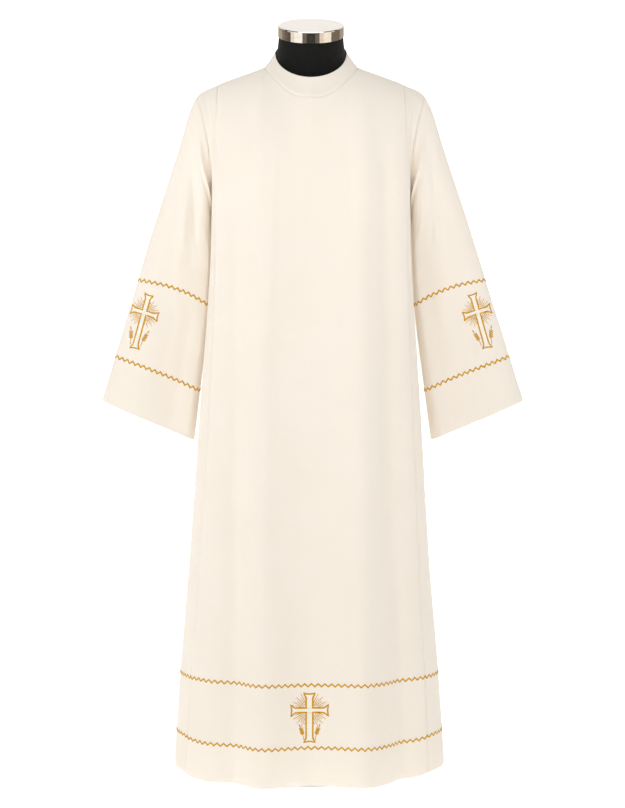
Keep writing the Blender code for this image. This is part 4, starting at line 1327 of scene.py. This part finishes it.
def studio_air():
    """The pale air round the floor. The camera sees it, and it lights nothing."""
    rises = np.radians(np.arange(0, 90, AIR_STEP))
    rings = [disc(STUDIO_RADIUS * math.cos(a), STUDIO_RADIUS * math.sin(a)) for a in rises]
    verts = [point for ring in rings for point in ring]
    faces = []
    for r in range(len(rises)):
        for n in range(DISC_SIDES):
            low, next_low = r * DISC_SIDES + n, r * DISC_SIDES + (n + 1) % DISC_SIDES
            above = (next_low + DISC_SIDES, low + DISC_SIDES) if r < len(rises) - 1 else (len(verts),)
            faces.append((low, next_low, *above))
    stage_piece("air", verts + [(0.0, 0.0, STUDIO_RADIUS)], faces, AIR_GLOW,
                unseen_by=("diffuse", "glossy", "shadow", "transmission"), **PALE_PAINT)


def back_reflector():
    """A curved white sheet behind the alb. It lights the alb, and the camera doesn't see it."""
    profile = [(REFLECTOR_Y + REFLECTOR_BEND * math.sin(a), REFLECTOR_BEND * (1 - math.cos(a)))
               for a in REFLECTOR_BEND_ANGLES]
    profile.append((REFLECTOR_Y + REFLECTOR_BEND, REFLECTOR_TOP))
    verts = [(x, y, z) for y, z in profile for x in (-REFLECTOR_HALF_WIDTH, REFLECTOR_HALF_WIDTH)]
    faces = [(2 * n, 2 * n + 1, 2 * n + 3, 2 * n + 2) for n in range(len(profile) - 1)]
    stage_piece("back_reflector", verts, faces, REFLECTOR_GLOW, unseen_by=("camera",), **PALE_PAINT)


def floor_light():
    """A round of the floor that the alb stands over, which glows: painted light that fills in the alb's
    shadow there and lights the hem from below.
    """
    ring = disc(FLOOR_LIGHT_RADIUS, FLOOR_LIGHT_HEIGHT, shift)
    stage_piece("floor_light", ring, [range(DISC_SIDES)], FLOOR_LIGHT_GLOW, **PALE_PAINT)


SoftBox = namedtuple("SoftBox", "name place aim_z width height power")
SOFT_BOXES = (
    SoftBox("key_light", (-4.0, -1.7, 2.3), 0.80, 2.0, 2.4, 41.5),
    SoftBox("fill_light", (3.9, -1.9, 2.7), 0.80, 2.0, 2.4, 37.5),
    SoftBox("front_light", (-2.7, -4.9, 2.9), 0.80, 2.4, 2.2, 37.0),
    SoftBox("top_light", (0.0, -1.6, 4.0), 0.90, 3.0, 2.0, 46.0),
)


def soft_box(box):
    data = bpy.data.lights.new(box.name, "AREA")
    data.shape = "RECTANGLE"
    data.size = box.width
    data.size_y = box.height
    data.energy = box.power
    lamp = bpy.data.objects.new(box.name, data)
    lamp.location = box.place
    lamp.rotation_euler = (Vector((0, 0, box.aim_z)) - lamp.location).to_track_quat("-Z", "Y").to_euler()
    bpy.context.scene.collection.objects.link(lamp)


studio_floor()
studio_air()
back_reflector()
floor_light()
for card in MIRROR_CARDS:
    mirror_card(card)
for box in SOFT_BOXES:
    soft_box(box)

world = bpy.data.worlds.new("studio_air")
world.use_nodes = True
world.node_tree.nodes["Background"].inputs["Color"].default_value = linear("FCFBF8")
world.node_tree.nodes["Background"].inputs["Strength"].default_value = WORLD_LIGHT
bpy.context.scene.world = world
bpy.context.scene.view_settings.view_transform = "Standard"

# Camera at the photograph's angle
CAMERA_TARGET = (0.003, 0.0, 0.740)
CAMERA_DISTANCE = 5.0
CAMERA_ELEVATION = math.radians(5.2)
FOCAL_PIXELS = 2500.0
FRAME_HEIGHT = 808.0
view = bpy.data.cameras.new("camera")
view.sensor_width = 36.0
view.lens = FOCAL_PIXELS / FRAME_HEIGHT * view.sensor_width
camera = bpy.data.objects.new("camera", view)
back_off = Vector((0, -math.cos(CAMERA_ELEVATION), math.sin(CAMERA_ELEVATION))) * CAMERA_DISTANCE
camera.location = Vector(CAMERA_TARGET) + Vector((shift[0], shift[1], 0)) + back_off
camera.rotation_euler = (math.pi / 2 - CAMERA_ELEVATION, 0, 0)
bpy.context.scene.collection.objects.link(camera)
bpy.context.scene.camera = camera
